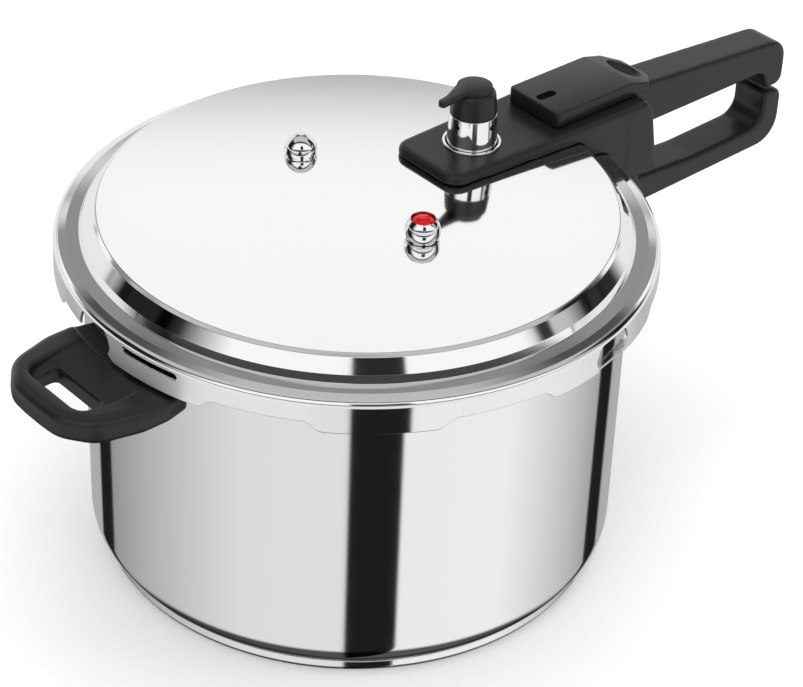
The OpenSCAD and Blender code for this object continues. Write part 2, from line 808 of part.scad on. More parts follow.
module vent_pipe() {
    foot_z = vent_z + washer_t;
    end_z = vent_under_z - washer_t - nut_h - 1.5;
    color(steel_colour) translate([vent_x, 0, 0]) difference() {
        union() {
            translate([0, 0, foot_z]) cylinder(r = pipe_flange_r, h = pipe_flange_h);
            translate([0, 0, end_z]) cylinder(r = stem_r, h = foot_z - end_z + eps);
            translate([0, 0, foot_z]) cylinder(r = vent_pipe_r, h = pipe_top_z - foot_z);
        }
        translate([0, 0, end_z - overcut])
            cylinder(r = vent_bore_r, h = pipe_top_z - end_z + 2 * overcut);
    }
}

module vent_washer() {
    color(silicone_colour) translate([vent_x, 0, vent_z]) ring(stem_r, washer_r, washer_t);
}

module vent_nut() {
    color(steel_colour) translate([vent_x, 0, vent_under_z - nut_h])
        hex_nut(nut_af, stem_r, nut_h);
}

module vent_shield() {
    // a slotted cup that keeps food out of the vent
    r = 12;
    h = 9;
    z = vent_under_z - nut_h - h;
    color(steel_colour) translate([vent_x, 0, z]) difference() {
        cylinder(r = r, h = h);
        translate([0, 0, 0.8]) cylinder(r = r - 0.8, h = h - 1.6);
        translate([0, 0, h - 2]) cylinder(r = stem_r + 0.1, h = 4);
        for (i = [0:7]) rotate([0, 0, 45 * i])
            translate([r - 3, -1.2, 2]) cube([6, 2.4, h - 4]);
    }
}

module regulator_sleeve() {
    hole_z = sleeve_h - 4.6;
    color(steel_colour) translate([vent_x, 0, sleeve_z]) difference() {
        cylinder(r1 = sleeve_r, r2 = sleeve_top_r, h = sleeve_h);
        translate([0, 0, -overcut])
            cylinder(r = sleeve_top_r - sleeve_wall, h = sleeve_h + 2 * overcut);
        for (i = [0:3]) rotate([0, 0, 90 * i + 8])
            translate([sleeve_top_r - 3, 0, hole_z]) rotate([0, 90, 0])
                cylinder(r = steam_hole_r, h = 8);
    }
}

module regulator_weight() {
    // slides over the vent pipe; its cone closes the pipe's mouth
    foot_z = sleeve_z + 1;
    cone_z = pipe_top_z + 0.4;
    color(brass_colour) translate([vent_x, 0, 0]) {
        difference() {
            union() {
                translate([0, 0, foot_z]) cylinder(r = weight_neck_r, h = sleeve_top_z - foot_z);
                translate([0, 0, sleeve_top_z - 2.6]) cylinder(r = sleeve_top_r - sleeve_wall, h = 2.6);
                translate([0, 0, sleeve_top_z - 1]) cylinder(r = post_r, h = selector_h - 3);
            }
            translate([0, 0, foot_z - overcut])
                cylinder(r = weight_bore_r, h = cone_z - foot_z + overcut);
            for (i = [0:3]) rotate([0, 0, 90 * i + 8])
                translate([0, 0, sleeve_z + sleeve_h - 4.6 - 1]) rotate([0, 90, 0])
                    cylinder(r = 1, h = 12);
            translate([0, 0, selector_top_z - 9]) cylinder(r = 1.3, h = 12);
        }
    }
}

module regulator_spring() {
    color(dark_steel_colour) translate([vent_x, 0, spring_seat_z])
        coil_spring(5.5, 0.6, selector_h - 4.2, 5);
}

module selector_cap() {
    edge = 2;
    color(black_colour) translate([vent_x, 0, 0]) difference() {
        union() {
            translate([0, 0, selector_z])
                cylinder(r1 = selector_foot_r, r2 = selector_top_r, h = selector_h - edge);
            translate([0, 0, selector_top_z - edge])
                cylinder(r1 = selector_top_r, r2 = selector_top_r - edge, h = edge);
            translate([0, 0, selector_top_z - eps]) hull() {
                cylinder(r = lever_disc_r, h = lever_t, $fn = 64);
                translate([-14, 0, 0]) cylinder(r = 4, h = lever_t, $fn = 32);
            }
            translate([0, 0, selector_top_z - eps]) hull() {
                translate([-10, 0, 0]) cylinder(r = 4.4, h = lever_t, $fn = 32);
                translate([-lever_reach + lever_tip_r, 0, -1.5])
                    cylinder(r = lever_tip_r, h = lever_t, $fn = 32);
            }
        }
        translate([0, 0, selector_z - overcut])
            cylinder(r = cap_room_r, h = selector_h - 2.6 + overcut);
        translate([0, 0, selector_z]) cylinder(r = post_r + 0.05, h = selector_h - 0.6);
        translate([0, 0, selector_z]) cylinder(r = 1.6, h = selector_h + 4);
        translate([0, 0, selector_top_z + lever_t - 1.4]) cylinder(r = 3, h = 4);
    }
}

module selector_screw() {
    color(dark_steel_colour) translate([vent_x, 0, selector_top_z + lever_t - 1.4 + 0.01])
        screw(1.25, 6, 2.7, 1);
}

// ---------------------------------------------------------------- safety valve

module safety_seat() {
    end_z = safety_under_z - nut_h - 2;
    color(steel_colour) translate([safety_pos[0], safety_pos[1], 0]) difference() {
        union() {
            translate([0, 0, safety_z]) cylinder(r = safety_r - dome_shell_t - 0.1, h = 2);
            translate([0, 0, end_z]) cylinder(r = stem_r, h = safety_z - end_z + 1);
        }
        translate([0, 0, end_z - overcut])
            cylinder(r = piston_r + slide_clear, h = safety_z - end_z + 6);
    }
}

module safety_washer() {
    color(silicone_colour)
        translate([safety_pos[0], safety_pos[1], safety_under_z - washer_t])
            ring(stem_r, washer_r, washer_t);
}

module safety_nut() {
    color(steel_colour)
        translate([safety_pos[0], safety_pos[1],
                safety_under_z - washer_t - nut_h])
            hex_nut(nut_af, stem_r, nut_h);
}

// A hollow dome with a straight foot
module small_dome(r, wall) {
    difference() {
        union() {
            cylinder(r = r, h = foot_h);
            translate([0, 0, foot_h]) intersection() {
                sphere(r = r);
                cylinder(r = r + 1, h = r + 1);
            }
        }
        translate([0, 0, -overcut]) cylinder(r = r - wall, h = foot_h + overcut);
        translate([0, 0, foot_h]) sphere(r = r - wall);
    }
}

module safety_dome() {
    color(steel_colour) translate([safety_pos[0], safety_pos[1], safety_z])
        difference() {
            small_dome(safety_r, dome_shell_t);
            for (i = [0:5]) rotate([0, 0, 60 * i + 15])
                translate([0, 0, foot_h + 1.6]) rotate([0, 90, 0])
                    cylinder(r = 0.9, h = safety_r + 2);
        }
}

module safety_piston() {
    head_z = safety_z + 2.1 + slide_clear;
    end_z = safety_under_z - nut_h - 3;
    color(brass_colour) translate([safety_pos[0], safety_pos[1], 0]) {
        translate([0, 0, end_z]) cylinder(r = piston_r, h = head_z - end_z + 0.5);
        translate([0, 0, head_z]) cylinder(r = piston_head_r, h = 1.2);
    }
}

module safety_spring() {
    z0 = safety_z + 2.1 + slide_clear + 1.2 + 0.05;
    color(dark_steel_colour) translate([safety_pos[0], safety_pos[1], z0])
        coil_spring(2.4, 0.35, 4.6, 4);
}

// ---------------------------------------------------------------- indicator

module indicator_ball() {
    groove_z = 1.5;
    color(steel_colour) translate([indicator_pos[0], indicator_pos[1], 0]) {
        end_z = indicator_under_z - nut_h - 2;
        difference() {
            union() {
                translate([0, 0, indicator_z]) cylinder(r = indicator_r, h = foot_h);
                translate([0, 0, indicator_z + foot_h]) intersection() {
                    sphere(r = indicator_r);
                    cylinder(r = indicator_r + 1, h = indicator_r);
                }
                translate([0, 0, end_z]) cylinder(r = stem_r, h = indicator_z - end_z + 1);
            }
            translate([0, 0, indicator_z + groove_z]) ring(indicator_r - 0.5, indicator_r + 2, 0.7);
            translate([0, 0, end_z - overcut])
                cylinder(r = float_stem_r + slide_clear, h = indicator_z - end_z + indicator_r);
            translate([0, 0, indicator_z + foot_h + indicator_r - 4.4])
                cylinder(r = float_r + float_gap, h = indicator_r);
        }
    }
}

module indicator_float() {
    // red button with a stem that the steam pushes up
    button_z = indicator_z + foot_h + indicator_r - 4.4 + slide_clear;
    end_z = indicator_under_z - nut_h - 2 - 1 - float_travel;
    color(red_colour) translate([indicator_pos[0], indicator_pos[1], 0]) {
        intersection() {
            translate([0, 0, indicator_z + foot_h]) sphere(r = indicator_r);
            translate([0, 0, button_z]) cylinder(r = float_r, h = indicator_r);
        }
        translate([0, 0, end_z]) cylinder(r = float_stem_r, h = button_z - end_z + 0.5);
    }
}

module indicator_clip() {
    end_z = indicator_under_z - nut_h - 2 - 1 - float_travel;
    color(steel_colour) translate([indicator_pos[0], indicator_pos[1], end_z + 0.2])
        ring(float_stem_r, 4, 0.8);
}

module indicator_seal() {
    color(silicone_colour)
        translate([indicator_pos[0], indicator_pos[1],
                indicator_under_z - washer_t])
            ring(stem_r, washer_r, washer_t);
}

module indicator_nut() {
    color(steel_colour)
        translate([indicator_pos[0], indicator_pos[1],
                indicator_under_z - washer_t - nut_h])
            hex_nut(nut_af, stem_r, nut_h);
}

// ---------------------------------------------------------------- lock

// Side outline of the lock button: flat top, sloped tail
module button_outline() {
    x0 = button_front;
    polygon([
        [x0, button_z], [x0, button_z + button_h - 1], [x0 + 1, button_z + button_h],
        [x0 + button_flat_l, button_z + button_h], [x0 + button_l, button_z + button_nose_h],
        [x0 + button_l, button_z]
    ]);
}

module lock_button() {
    post_foot_z = bar_z + bar_t;
    tail_x = button_front + button_l - 8;
    color(black_colour) difference() {
        union() {
            rotate([90, 0, 0]) linear_extrude(button_w, center = true) button_outline();
            for (x = lock_post_xs)
                translate([x - lock_post_w / 2, -lock_post_w / 2, post_foot_z])
                    cube([lock_post_w, lock_post_w, button_z - post_foot_z + 1]);
        }
        // oval sight hole
        for (dx = [-3, 3])
            translate([button_front + 9 + dx, 0, button_z + button_h - 3])
                cylinder(r = 2.6, h = 5);
        translate([button_front + 6, -2.6, button_z + button_h - 3]) cube([6, 5.2, 5]);
        // thumb scoop
        translate([tail_x, 0, button_z + button_h + 8]) sphere(r = 12);
        for (x = lock_post_xs)
            translate([x, 0, post_foot_z - 1]) cylinder(r = lock_screw_r, h = 7);
    }
}

module lock_bar() {
    color(dark_steel_colour) difference() {
        union() {
            translate([bar_x0, -bar_w / 2, bar_z]) cube([bar_x1 - bar_x0, bar_w, bar_t]);
            translate([tongue_x, -bar_w / 2, tongue_end_z])
                cube([bar_t, bar_w, bar_z - tongue_end_z + 1]);
        }
        for (x = lock_post_xs)
            translate([x, 0, bar_z - overcut])
                cylinder(r = lock_screw_r, h = bar_t + 2 * overcut);
    }
}

module lock_screws() {
    color(steel_colour) for (x = lock_post_xs)
        translate([x, 0, bar_z + 0.3]) cylinder(r = lock_screw_r, h = bar_t + 4);
}

pot_shell();
base_core();
base_cap();
lower_handle_bracket();
lower_handle();
lower_handle_screw();
side_handle_bracket();
side_handle();
side_handle_screw();
gasket();
lid_shell();
lid_bracket();
upper_handle();
upper_handle_screws();
regulator_ring();
vent_pipe();
vent_washer();
vent_nut();
vent_shield();
safety_seat();
safety_washer();
safety_nut();
safety_dome();
safety_spring();
safety_piston();
indicator_ball();
indicator_seal();
indicator_nut();
indicator_float();
indicator_clip();
lock_button();
lock_bar();
lock_screws();
regulator_sleeve();
regulator_weight();
regulator_spring();
selector_cap();
selector_screw();
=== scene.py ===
"""Outer pieces, finishes and studio of a stovetop pressure canner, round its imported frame."""
import math

import bmesh
import bpy
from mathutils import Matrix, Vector


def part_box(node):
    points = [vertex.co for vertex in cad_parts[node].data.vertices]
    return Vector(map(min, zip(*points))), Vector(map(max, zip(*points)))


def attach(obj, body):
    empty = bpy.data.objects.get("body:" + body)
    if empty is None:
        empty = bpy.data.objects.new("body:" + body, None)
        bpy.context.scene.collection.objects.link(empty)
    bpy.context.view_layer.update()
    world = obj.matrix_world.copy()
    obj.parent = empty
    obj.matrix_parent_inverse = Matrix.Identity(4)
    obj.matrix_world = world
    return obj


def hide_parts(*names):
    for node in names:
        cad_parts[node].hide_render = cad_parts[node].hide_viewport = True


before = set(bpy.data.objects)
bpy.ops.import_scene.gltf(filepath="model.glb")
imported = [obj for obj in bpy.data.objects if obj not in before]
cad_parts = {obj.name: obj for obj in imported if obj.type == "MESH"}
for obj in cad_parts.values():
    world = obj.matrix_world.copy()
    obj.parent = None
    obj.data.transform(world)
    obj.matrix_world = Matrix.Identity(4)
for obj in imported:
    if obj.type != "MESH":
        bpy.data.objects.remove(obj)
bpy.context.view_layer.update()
MM = 0.001

bl_info = {
    "name": "Pressure canner",
    "version": (1, 0, 0),
    "blender": (4, 5, 0),
    "location": "View3D > Sidebar > Canner",
    "description": "Builds the outer pieces, finishes and studio of a stovetop pressure canner",
    "category": "Object",
}


def side(node, corner, axis):
    """One face of a node's box in millimetres: corner 0 is the low one, 1 the high one."""
    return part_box(node)[corner][axis] / MM


# Sizes that the frame already fixes, in millimetres
SKIRT_R = side("lid_shell", 1, 0)
TAB_Z = side("lid_shell", 0, 2)
DOME_Z = side("lid_shell", 1, 2)
RIM_Z = side("pot_shell", 1, 2)
LUG_R = side("pot_shell", 1, 0)
LUG_REACH = 8
POT_R = LUG_R - LUG_REACH
POT_Z = side("pot_shell", 0, 2)
FLANGE_Z = RIM_Z + 6.5   # the lid's flange stands this far above the pot's rim
CAP_R = side("base_cap", 1, 0)
CAP_RIM_Z = side("base_cap", 1, 2)
SHEET = 1.5   # thickness of the pressed steel
HANDLE_Z = side("upper_handle", 1, 2)
HANDLE_X = side("upper_handle", 0, 0)
HANDLE_Y = side("upper_handle", 1, 1)
GRIP_X = side("upper_handle", 1, 0)
TAIL_Z = side("upper_handle", 0, 2)
TAIL_X = SKIRT_R + 28   # rear face of the housing's tail
LOWER_Z = side("lower_handle", 0, 2)
LOWER_TOP_Z = side("lower_handle", 1, 2)
SIDE_X = side("side_handle", 0, 0)
SIDE_Y = side("side_handle", 1, 1)
SIDE_Z = side("side_handle", 1, 2)
SIDE_FOOT_Z = side("side_handle", 0, 2)
BUTTON = [side("lock_button", 0, 0), side("lock_button", 1, 0), side("lock_button", 1, 1)]
BUTTON_TOP_Z = side("lock_button", 1, 2)
BAR_X = [side("lock_bar", 0, 0), side("lock_bar", 1, 0)]
VENT_X = (side("regulator_sleeve", 0, 0) + side("regulator_sleeve", 1, 0)) / 2
HANDLE_SCREWS = [VENT_X + 20, VENT_X + 36]
SLEEVE_Z = [side("regulator_sleeve", 0, 2), side("regulator_sleeve", 1, 2)]
SLEEVE_R = side("regulator_sleeve", 1, 1)
RING_R = side("regulator_ring", 1, 1)
CAP_Z = [side("selector_cap", 0, 2), side("selector_cap", 1, 2)]
KNOB_R = side("selector_cap", 1, 1)
LEVER_X = side("selector_cap", 0, 0)
SAFETY = [(side("safety_dome", 0, a) + side("safety_dome", 1, a)) / 2 for a in (0, 1)]
SAFETY_R = (side("safety_dome", 1, 0) - side("safety_dome", 0, 0)) / 2
SAFETY_Z = [side("safety_dome", 0, 2), side("safety_dome", 1, 2)]
BALL = [(side("indicator_ball", 0, a) + side("indicator_ball", 1, a)) / 2 for a in (0, 1)]
BALL_R = (side("indicator_ball", 1, 0) - side("indicator_ball", 0, 0)) / 2
BALL_TOP_Z = side("indicator_float", 1, 2)

# Sizes of the lid's pressing: the flange, the sloped ring inside it and the dome's edge
FLANGE_R = [142, 148.6]
STEP_R, STEP_Z = 140.2, FLANGE_Z + 3.8
SLOPE_R, SLOPE_Z = STEP_R - 5, STEP_Z + 6.7
DOME_R, DOME_EDGE_Z = SLOPE_R - 1.8, SLOPE_Z + 1.2

# Sizes of the lock's posts, and of the bracket and screw inside each of the pot's handles
LOCK_TRAVEL, LOCK_GAP = 6, 0.4
POST_HALF = 3
POSTS = [BUTTON[0] + 18, BUTTON[0] + 38]
WALL_GAP = 2.3
BRACKET_REACH, BRACKET_HALF, BRACKET_ROOM = 20.6, 6.3, 2.6
BRACKET_SCREW, BRACKET_SCREW_TOP_Z = 11, 152


# ---------------------------------------------------------------- sizes and colours to change


class CANNER_PG_shape(bpy.types.PropertyGroup):
    dome_rise: bpy.props.FloatProperty(
        name="Dome rise", description="Height of the lid's dome above its edge",
        default=3 * MM, min=1 * MM, max=12 * MM, unit="LENGTH")
    rim_edge: bpy.props.FloatProperty(
        name="Rim edge", description="Radius of the edge between lid flange and skirt",
        default=3.4 * MM, min=2 * MM, max=6 * MM, unit="LENGTH")
    tab_step: bpy.props.FloatProperty(
        name="Tab step", description="How much shorter the skirt is between two tabs",
        default=5.4 * MM, min=0, max=8 * MM, unit="LENGTH")
    handle_edge: bpy.props.FloatProperty(
        name="Handle edge", description="Radius of the housing's top edge",
        default=3 * MM, min=1 * MM, max=6 * MM, unit="LENGTH")
    grip_edge: bpy.props.FloatProperty(
        name="Grip edge", description="Radius of the grips' long edges",
        default=3.2 * MM, min=1 * MM, max=8 * MM, unit="LENGTH")
    grain: bpy.props.FloatProperty(
        name="Melt grain", description="Voxel size that blends a moulding's blocks into one",
        default=0.9 * MM, min=0.6 * MM, max=2 * MM, unit="LENGTH")


class CANNER_PG_finish(bpy.types.PropertyGroup):
    steel: bpy.props.FloatVectorProperty(
        name="Steel", description="Colour of the polished steel", subtype="COLOR", size=4,
        default=(0.93, 0.93, 0.935, 1), min=0, max=1)
    plastic: bpy.props.FloatVectorProperty(
        name="Plastic", description="Colour of the black mouldings", subtype="COLOR", size=4,
        default=(0.011, 0.011, 0.012, 1), min=0, max=1)
    button: bpy.props.FloatVectorProperty(
        name="Indicator button", description="Colour of the pressure indicator's button",
        subtype="COLOR", size=4, default=(0.52, 0.0, 0.006, 1), min=0, max=1)
    steel_roughness: bpy.props.FloatProperty(
        name="Steel roughness", description="Roughness of the polished steel",
        default=0.05, min=0, max=1, subtype="FACTOR")
    plastic_roughness: bpy.props.FloatProperty(
        name="Plastic roughness", description="Roughness of the black mouldings",
        default=0.36, min=0, max=1, subtype="FACTOR")


# ---------------------------------------------------------------- drawing and shaping


def place(point):
    """A point given in millimetres, as a vector in metres."""
    return Vector(point) * MM


def rounded(corners, closed=False, steps=6):
    """Points of a flat outline whose corners (x, y, radius) are rounded."""
    points = []
    count = len(corners)
    for i, (x, y, r) in enumerate(corners):
        here = Vector((x, y))
        if r <= 0 or (not closed and i in (0, count - 1)):
            points.append(here)
            continue
        before = Vector(corners[i - 1][:2]) - here
        after = Vector(corners[(i + 1) % count][:2]) - here
        u, v = before.normalized(), after.normalized()
        half = u.angle(v) / 2
        reach = min(r / math.tan(half), 0.47 * before.length, 0.47 * after.length)
        r = reach * math.tan(half)
        centre = here + (u + v).normalized() * (r / math.sin(half))
        first, last = here + u * reach - centre, here + v * reach - centre
        a0 = math.atan2(first.y, first.x)
        sweep = math.atan2(last.y, last.x) - a0
        sweep = (sweep + math.pi) % (2 * math.pi) - math.pi
        extra = 0.12 * r
        points.append(here + u * (reach + min(extra, 0.02 * before.length)))
        points += [centre + r * Vector((math.cos(a0 + sweep * k / steps),
                                        math.sin(a0 + sweep * k / steps)))
                   for k in range(steps + 1)]
        points.append(here + v * (reach + min(extra, 0.02 * after.length)))
    return points


def fresh(name, add, **where):
    """Adds one primitive with nothing else selected, and opens it for editing."""
    if bpy.context.object and bpy.context.object.mode != "OBJECT":
        bpy.ops.object.mode_set(mode="OBJECT")
    bpy.ops.object.select_all(action="DESELECT")
    add(**where)
    piece = bpy.context.object
    piece.name = piece.data.name = name
    bpy.ops.object.mode_set(mode="EDIT")
    bpy.ops.mesh.select_mode(type="VERT")
    bpy.ops.mesh.select_all(action="SELECT")
    return piece


def settle():
    """Back to object mode, with the object's place moved into its mesh."""
    if bpy.context.object.mode != "OBJECT":
        bpy.ops.object.mode_set(mode="OBJECT")
    bpy.ops.object.transform_apply(location=True, rotation=True, scale=True)


def only(piece):
    """Selects this piece alone."""
    if bpy.context.object and bpy.context.object.mode != "OBJECT":
        bpy.ops.object.mode_set(mode="OBJECT")
    bpy.ops.object.select_all(action="DESELECT")
    piece.select_set(True)
    bpy.context.view_layer.objects.active = piece


def draw(name, points):
    """Draws an open line of edges through points given in millimetres."""
    points = [place(p) for p in points]
    piece = fresh(name, bpy.ops.mesh.primitive_plane_add, size=MM, location=points[0])
    bpy.ops.mesh.merge(type="CENTER")
    for a, b in zip(points, points[1:]):
        bpy.ops.mesh.extrude_region_move(TRANSFORM_OT_translate={"value": b - a})
    settle()
    return piece


def outward():
    """Merges doubles and turns every face outwards."""
    bpy.ops.mesh.select_all(action="SELECT")
    bpy.ops.mesh.remove_doubles(threshold=1e-6)
    bpy.ops.mesh.normals_make_consistent(inside=False)


def turned(name, outline, centre=(0, 0), steps=360, angle=360.0, start=0.0):
    """Spins an outline of (radius, height) round a vertical axis through centre."""
    a = math.radians(start)
    piece = draw(name, [(centre[0] + r * math.cos(a), centre[1] + r * math.sin(a), z)
                        for r, z in outline])
    bpy.ops.object.mode_set(mode="EDIT")
    bpy.ops.mesh.select_all(action="SELECT")
    bpy.ops.mesh.spin(steps=steps, angle=-math.radians(angle),
                      center=(centre[0] * MM, centre[1] * MM, 0), axis=(0, 0, 1))
    outward()
    settle()
    return piece


def pick(piece, kind, test):
    """In edit mode, selects the vertices, edges or faces that pass a test, and no others."""
    bpy.ops.mesh.select_all(action="DESELECT")
    bpy.ops.mesh.select_mode(type=kind)
    mesh = bmesh.from_edit_mesh(piece.data)
    parts = {"VERT": mesh.verts, "EDGE": mesh.edges, "FACE": mesh.faces}[kind]
    for part in parts:
        if test(part):
            part.select_set(True)
    mesh.select_flush_mode()
    bmesh.update_edit_mesh(piece.data)


def slab(name, outline, axis, low, high, edges=(0, 0), segments=4):
    """Fills an outline and extrudes it along an axis, with both its rims rounded by edges."""
    def lift(p):
        return {"X": (low, p[0], p[1]), "Y": (p[0], low, p[1]), "Z": (p[0], p[1], low)}[axis]
    piece = draw(name, [lift(p) for p in outline])
    along = {"X": 0, "Y": 1, "Z": 2}[axis]
    move = Vector((0, 0, 0))
    move[along] = (high - low) * MM
    bpy.ops.object.mode_set(mode="EDIT")
    bpy.ops.mesh.select_all(action="SELECT")
    bpy.ops.mesh.edge_face_add()
    bpy.ops.mesh.extrude_region_move(TRANSFORM_OT_translate={"value": move})
    outward()
    for level, size in zip((low, high), edges):
        if size > 0:
            pick(piece, "EDGE", lambda e, at=level: all(
                abs(v.co[along] - at * MM) < 1e-6 for v in e.verts))
            bpy.ops.mesh.bevel(offset=size * MM, segments=segments, affect="EDGES",
                               clamp_overlap=True)
    outward()
    settle()
    return piece


def bar(name, low, high):
    """A plain block between two corners in millimetres, to cut with or to join."""
    low, high = Vector(low), Vector(high)
    fresh(name, bpy.ops.mesh.primitive_cube_add, size=MM, location=place((low + high) / 2),
          scale=high - low)
    settle()
    return bpy.context.object


def rod(name, centre, r, z0, z1, axis=(0, 0, 0), vertices=48):
    """A plain round rod, to cut with."""
    fresh(name, bpy.ops.mesh.primitive_cylinder_add, radius=r * MM, depth=(z1 - z0) * MM,
          vertices=vertices, location=place((centre[0], centre[1], (z0 + z1) / 2)),
          rotation=axis)
    settle()
    return bpy.context.object


def arc(r, first, last, step, centre=(0, 0)):
    """Points of an arc round a centre, with its angles in whole degrees."""
    return [(centre[0] + r * math.cos(math.radians(a)), centre[1] + r * math.sin(math.radians(a)))
            for a in range(first, last, step)]


def drills(name, centre, out, first, r, z0, z1, vertices):
    """Four level drills, a quarter turn apart, whose middles stand out from a centre."""
    tools = []
    for i in range(4):
        a = math.radians(90 * i + first)
        tools.append(rod(name, (centre[0] + out * math.cos(a), centre[1] + out * math.sin(a)), r,
                         z0, z1, axis=(0, math.pi / 2, a), vertices=vertices))
    return tools


def bracket_rooms(way, room_z, foot_z):
    """Room for a bracket and its screw; way is 1 in the long handle and -1 in the side one."""
    near, far = sorted((way * POT_R, way * (POT_R + BRACKET_REACH)))
    screw = (way * (POT_R + BRACKET_SCREW), 0)
    return (bar("bracket_room", (near, -BRACKET_HALF, room_z),
                (far, BRACKET_HALF, room_z + BRACKET_ROOM)),
            rod("screw_room", screw, 2.6, foot_z - 1, BRACKET_SCREW_TOP_Z),
            rod("screw_head_room", screw, 4.8, foot_z - 1, foot_z + 4))


def joined(*pieces):
    """Joins pieces into the first one."""
    only(pieces[0])
    for piece in pieces[1:]:
        piece.select_set(True)
    bpy.ops.object.join()
    return pieces[0]


def applied(piece, kind, **settings):
    """Adds one modifier with these settings and applies it."""
    only(piece)
    modifier = piece.modifiers.new(kind.lower(), kind)
    for name, value in settings.items():
        setattr(modifier, name, value)
    bpy.ops.object.modifier_apply(modifier=modifier.name)
    return piece


def carved(piece, *tools, operation="DIFFERENCE", crossing=False):
    """Cuts a piece with closed tools, which are then deleted; crossing tools meet each other."""
    tool = joined(*tools) if len(tools) > 1 else tools[0]
    applied(piece, "BOOLEAN", operation=operation, object=tool, solver="EXACT",
            use_self=crossing)
    only(tool)
    bpy.ops.object.delete()
    only(piece)
    return piece


def moulded(piece, grain, passes=5):
    """Melts overlapping blocks into one moulding with soft edges."""
    applied(piece, "REMESH", mode="VOXEL", voxel_size=grain)
    applied(piece, "SMOOTH", factor=0.5, iterations=passes)
    return piece


def finished(piece, body, slot, *nodes, angle=30):
    """Shades a piece, gives it its finish, and lets it ride on its body."""
    only(piece)
    bpy.ops.object.shade_smooth_by_angle(angle=math.radians(angle))
    piece.data.materials.clear()
    piece.data.materials.append(finish(slot))
    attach(piece, body)
    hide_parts(*nodes)
    return piece


# ---------------------------------------------------------------- finishes


def node(tree, kind, **values):
    """Adds a shader node and sets its inputs by name."""
    made = tree.nodes.new(kind)
    for name, value in values.items():
        name = name.replace("_", " ")
        if name in made.inputs:
            made.inputs[name].default_value = value
        else:
            setattr(made, name.replace(" ", "_"), value)
    return made


def metal(name, colour, roughness, scratch, scale):
    """Metal with a fine uneven polish."""
    material = bpy.data.materials.new(name)
    material.use_nodes = True
    tree = material.node_tree
    shader = tree.nodes["Principled BSDF"]
    shader.inputs["Base Color"].default_value = colour
    shader.inputs["Metallic"].default_value = 1
    coords = tree.nodes.new("ShaderNodeTexCoord")
    grain = node(tree, "ShaderNodeTexNoise", Scale=scale, Detail=3.0)
    spread = node(tree, "ShaderNodeMapRange", To_Min=roughness, To_Max=roughness + scratch)
    tree.links.new(coords.outputs["Object"], grain.inputs["Vector"])
    tree.links.new(grain.outputs["Fac"], spread.inputs["Value"])
    tree.links.new(spread.outputs["Result"], shader.inputs["Roughness"])
    return material


# Polish of the outer steel: how much its roughness varies, and how finely
POLISH = (0.03, 40.0)
# Colour, roughness, its unevenness and the fineness of that, for each of the inner metals
METALS = {
    "aluminium": ((0.76, 0.77, 0.79, 1), 0.32, 0.12, 200.0),
    "plain_steel": ((0.62, 0.63, 0.65, 1), 0.22, 0.1, 150.0),
    "screw_steel": ((0.7, 0.71, 0.73, 1), 0.2, 0.1, 300.0),
    "spring_steel": ((0.5, 0.51, 0.53, 1), 0.25, 0.1, 400.0),
    "brass": ((0.78, 0.6, 0.28, 1), 0.2, 0.1, 200.0),
}
# Where the lid's skirt is left bright, as an azimuth and the half angles where satin begins
BRIGHT_AT, BRIGHT_HALF = -126, (10.0, 15.0)
SATIN_ROUGHNESS, SATIN_DULLNESS = 0.24, 0.45


def lid_finish():
    """The lid's steel: a mirror polish, satin on the skirt."""
    looks = bpy.context.scene.canner_finish
    material = metal("canner_lid_steel", looks.steel, looks.steel_roughness, *POLISH)
    tree = material.node_tree
    shader = tree.nodes["Principled BSDF"]
    coords = tree.nodes.new("ShaderNodeTexCoord")
    split = tree.nodes.new("ShaderNodeSeparateXYZ")
    tree.links.new(coords.outputs["Object"], split.inputs["Vector"])
    x, y, z = split.outputs
    radius = maths(tree, "SQRT", maths(tree, "ADD", maths(tree, "MULTIPLY", x, x),
                                       maths(tree, "MULTIPLY", y, y)))
    outer = node(tree, "ShaderNodeMapRange", From_Min=(SKIRT_R - 1.4) * MM,
                 From_Max=(SKIRT_R - 0.7) * MM)
    tree.links.new(radius, outer.inputs["Value"])
    below = node(tree, "ShaderNodeMapRange", From_Min=(FLANGE_Z - 3.6) * MM,
                 From_Max=(FLANGE_Z - 4.6) * MM)
    tree.links.new(z, below.inputs["Value"])
    turn = maths(tree, "MULTIPLY", maths(tree, "ARCTAN2", y, x), 180 / math.pi)
    away = node(tree, "ShaderNodeMapRange", From_Min=BRIGHT_HALF[0], From_Max=BRIGHT_HALF[1])
    tree.links.new(maths(tree, "ABSOLUTE", maths(tree, "SUBTRACT", turn, BRIGHT_AT)),
                   away.inputs["Value"])
    skirt = maths(tree, "MULTIPLY", maths(tree, "MULTIPLY", outer.outputs["Result"],
                                          below.outputs["Result"]), away.outputs["Result"])
    spread = shader.inputs["Roughness"].links[0].from_socket
    tree.links.new(maths(tree, "ADD", spread, maths(tree, "MULTIPLY", skirt, SATIN_ROUGHNESS)),
                   shader.inputs["Roughness"])
    tree.links.new(maths(tree, "SUBTRACT", 1, maths(tree, "MULTIPLY", skirt, SATIN_DULLNESS)),
                   shader.inputs["Metallic"])
    return material


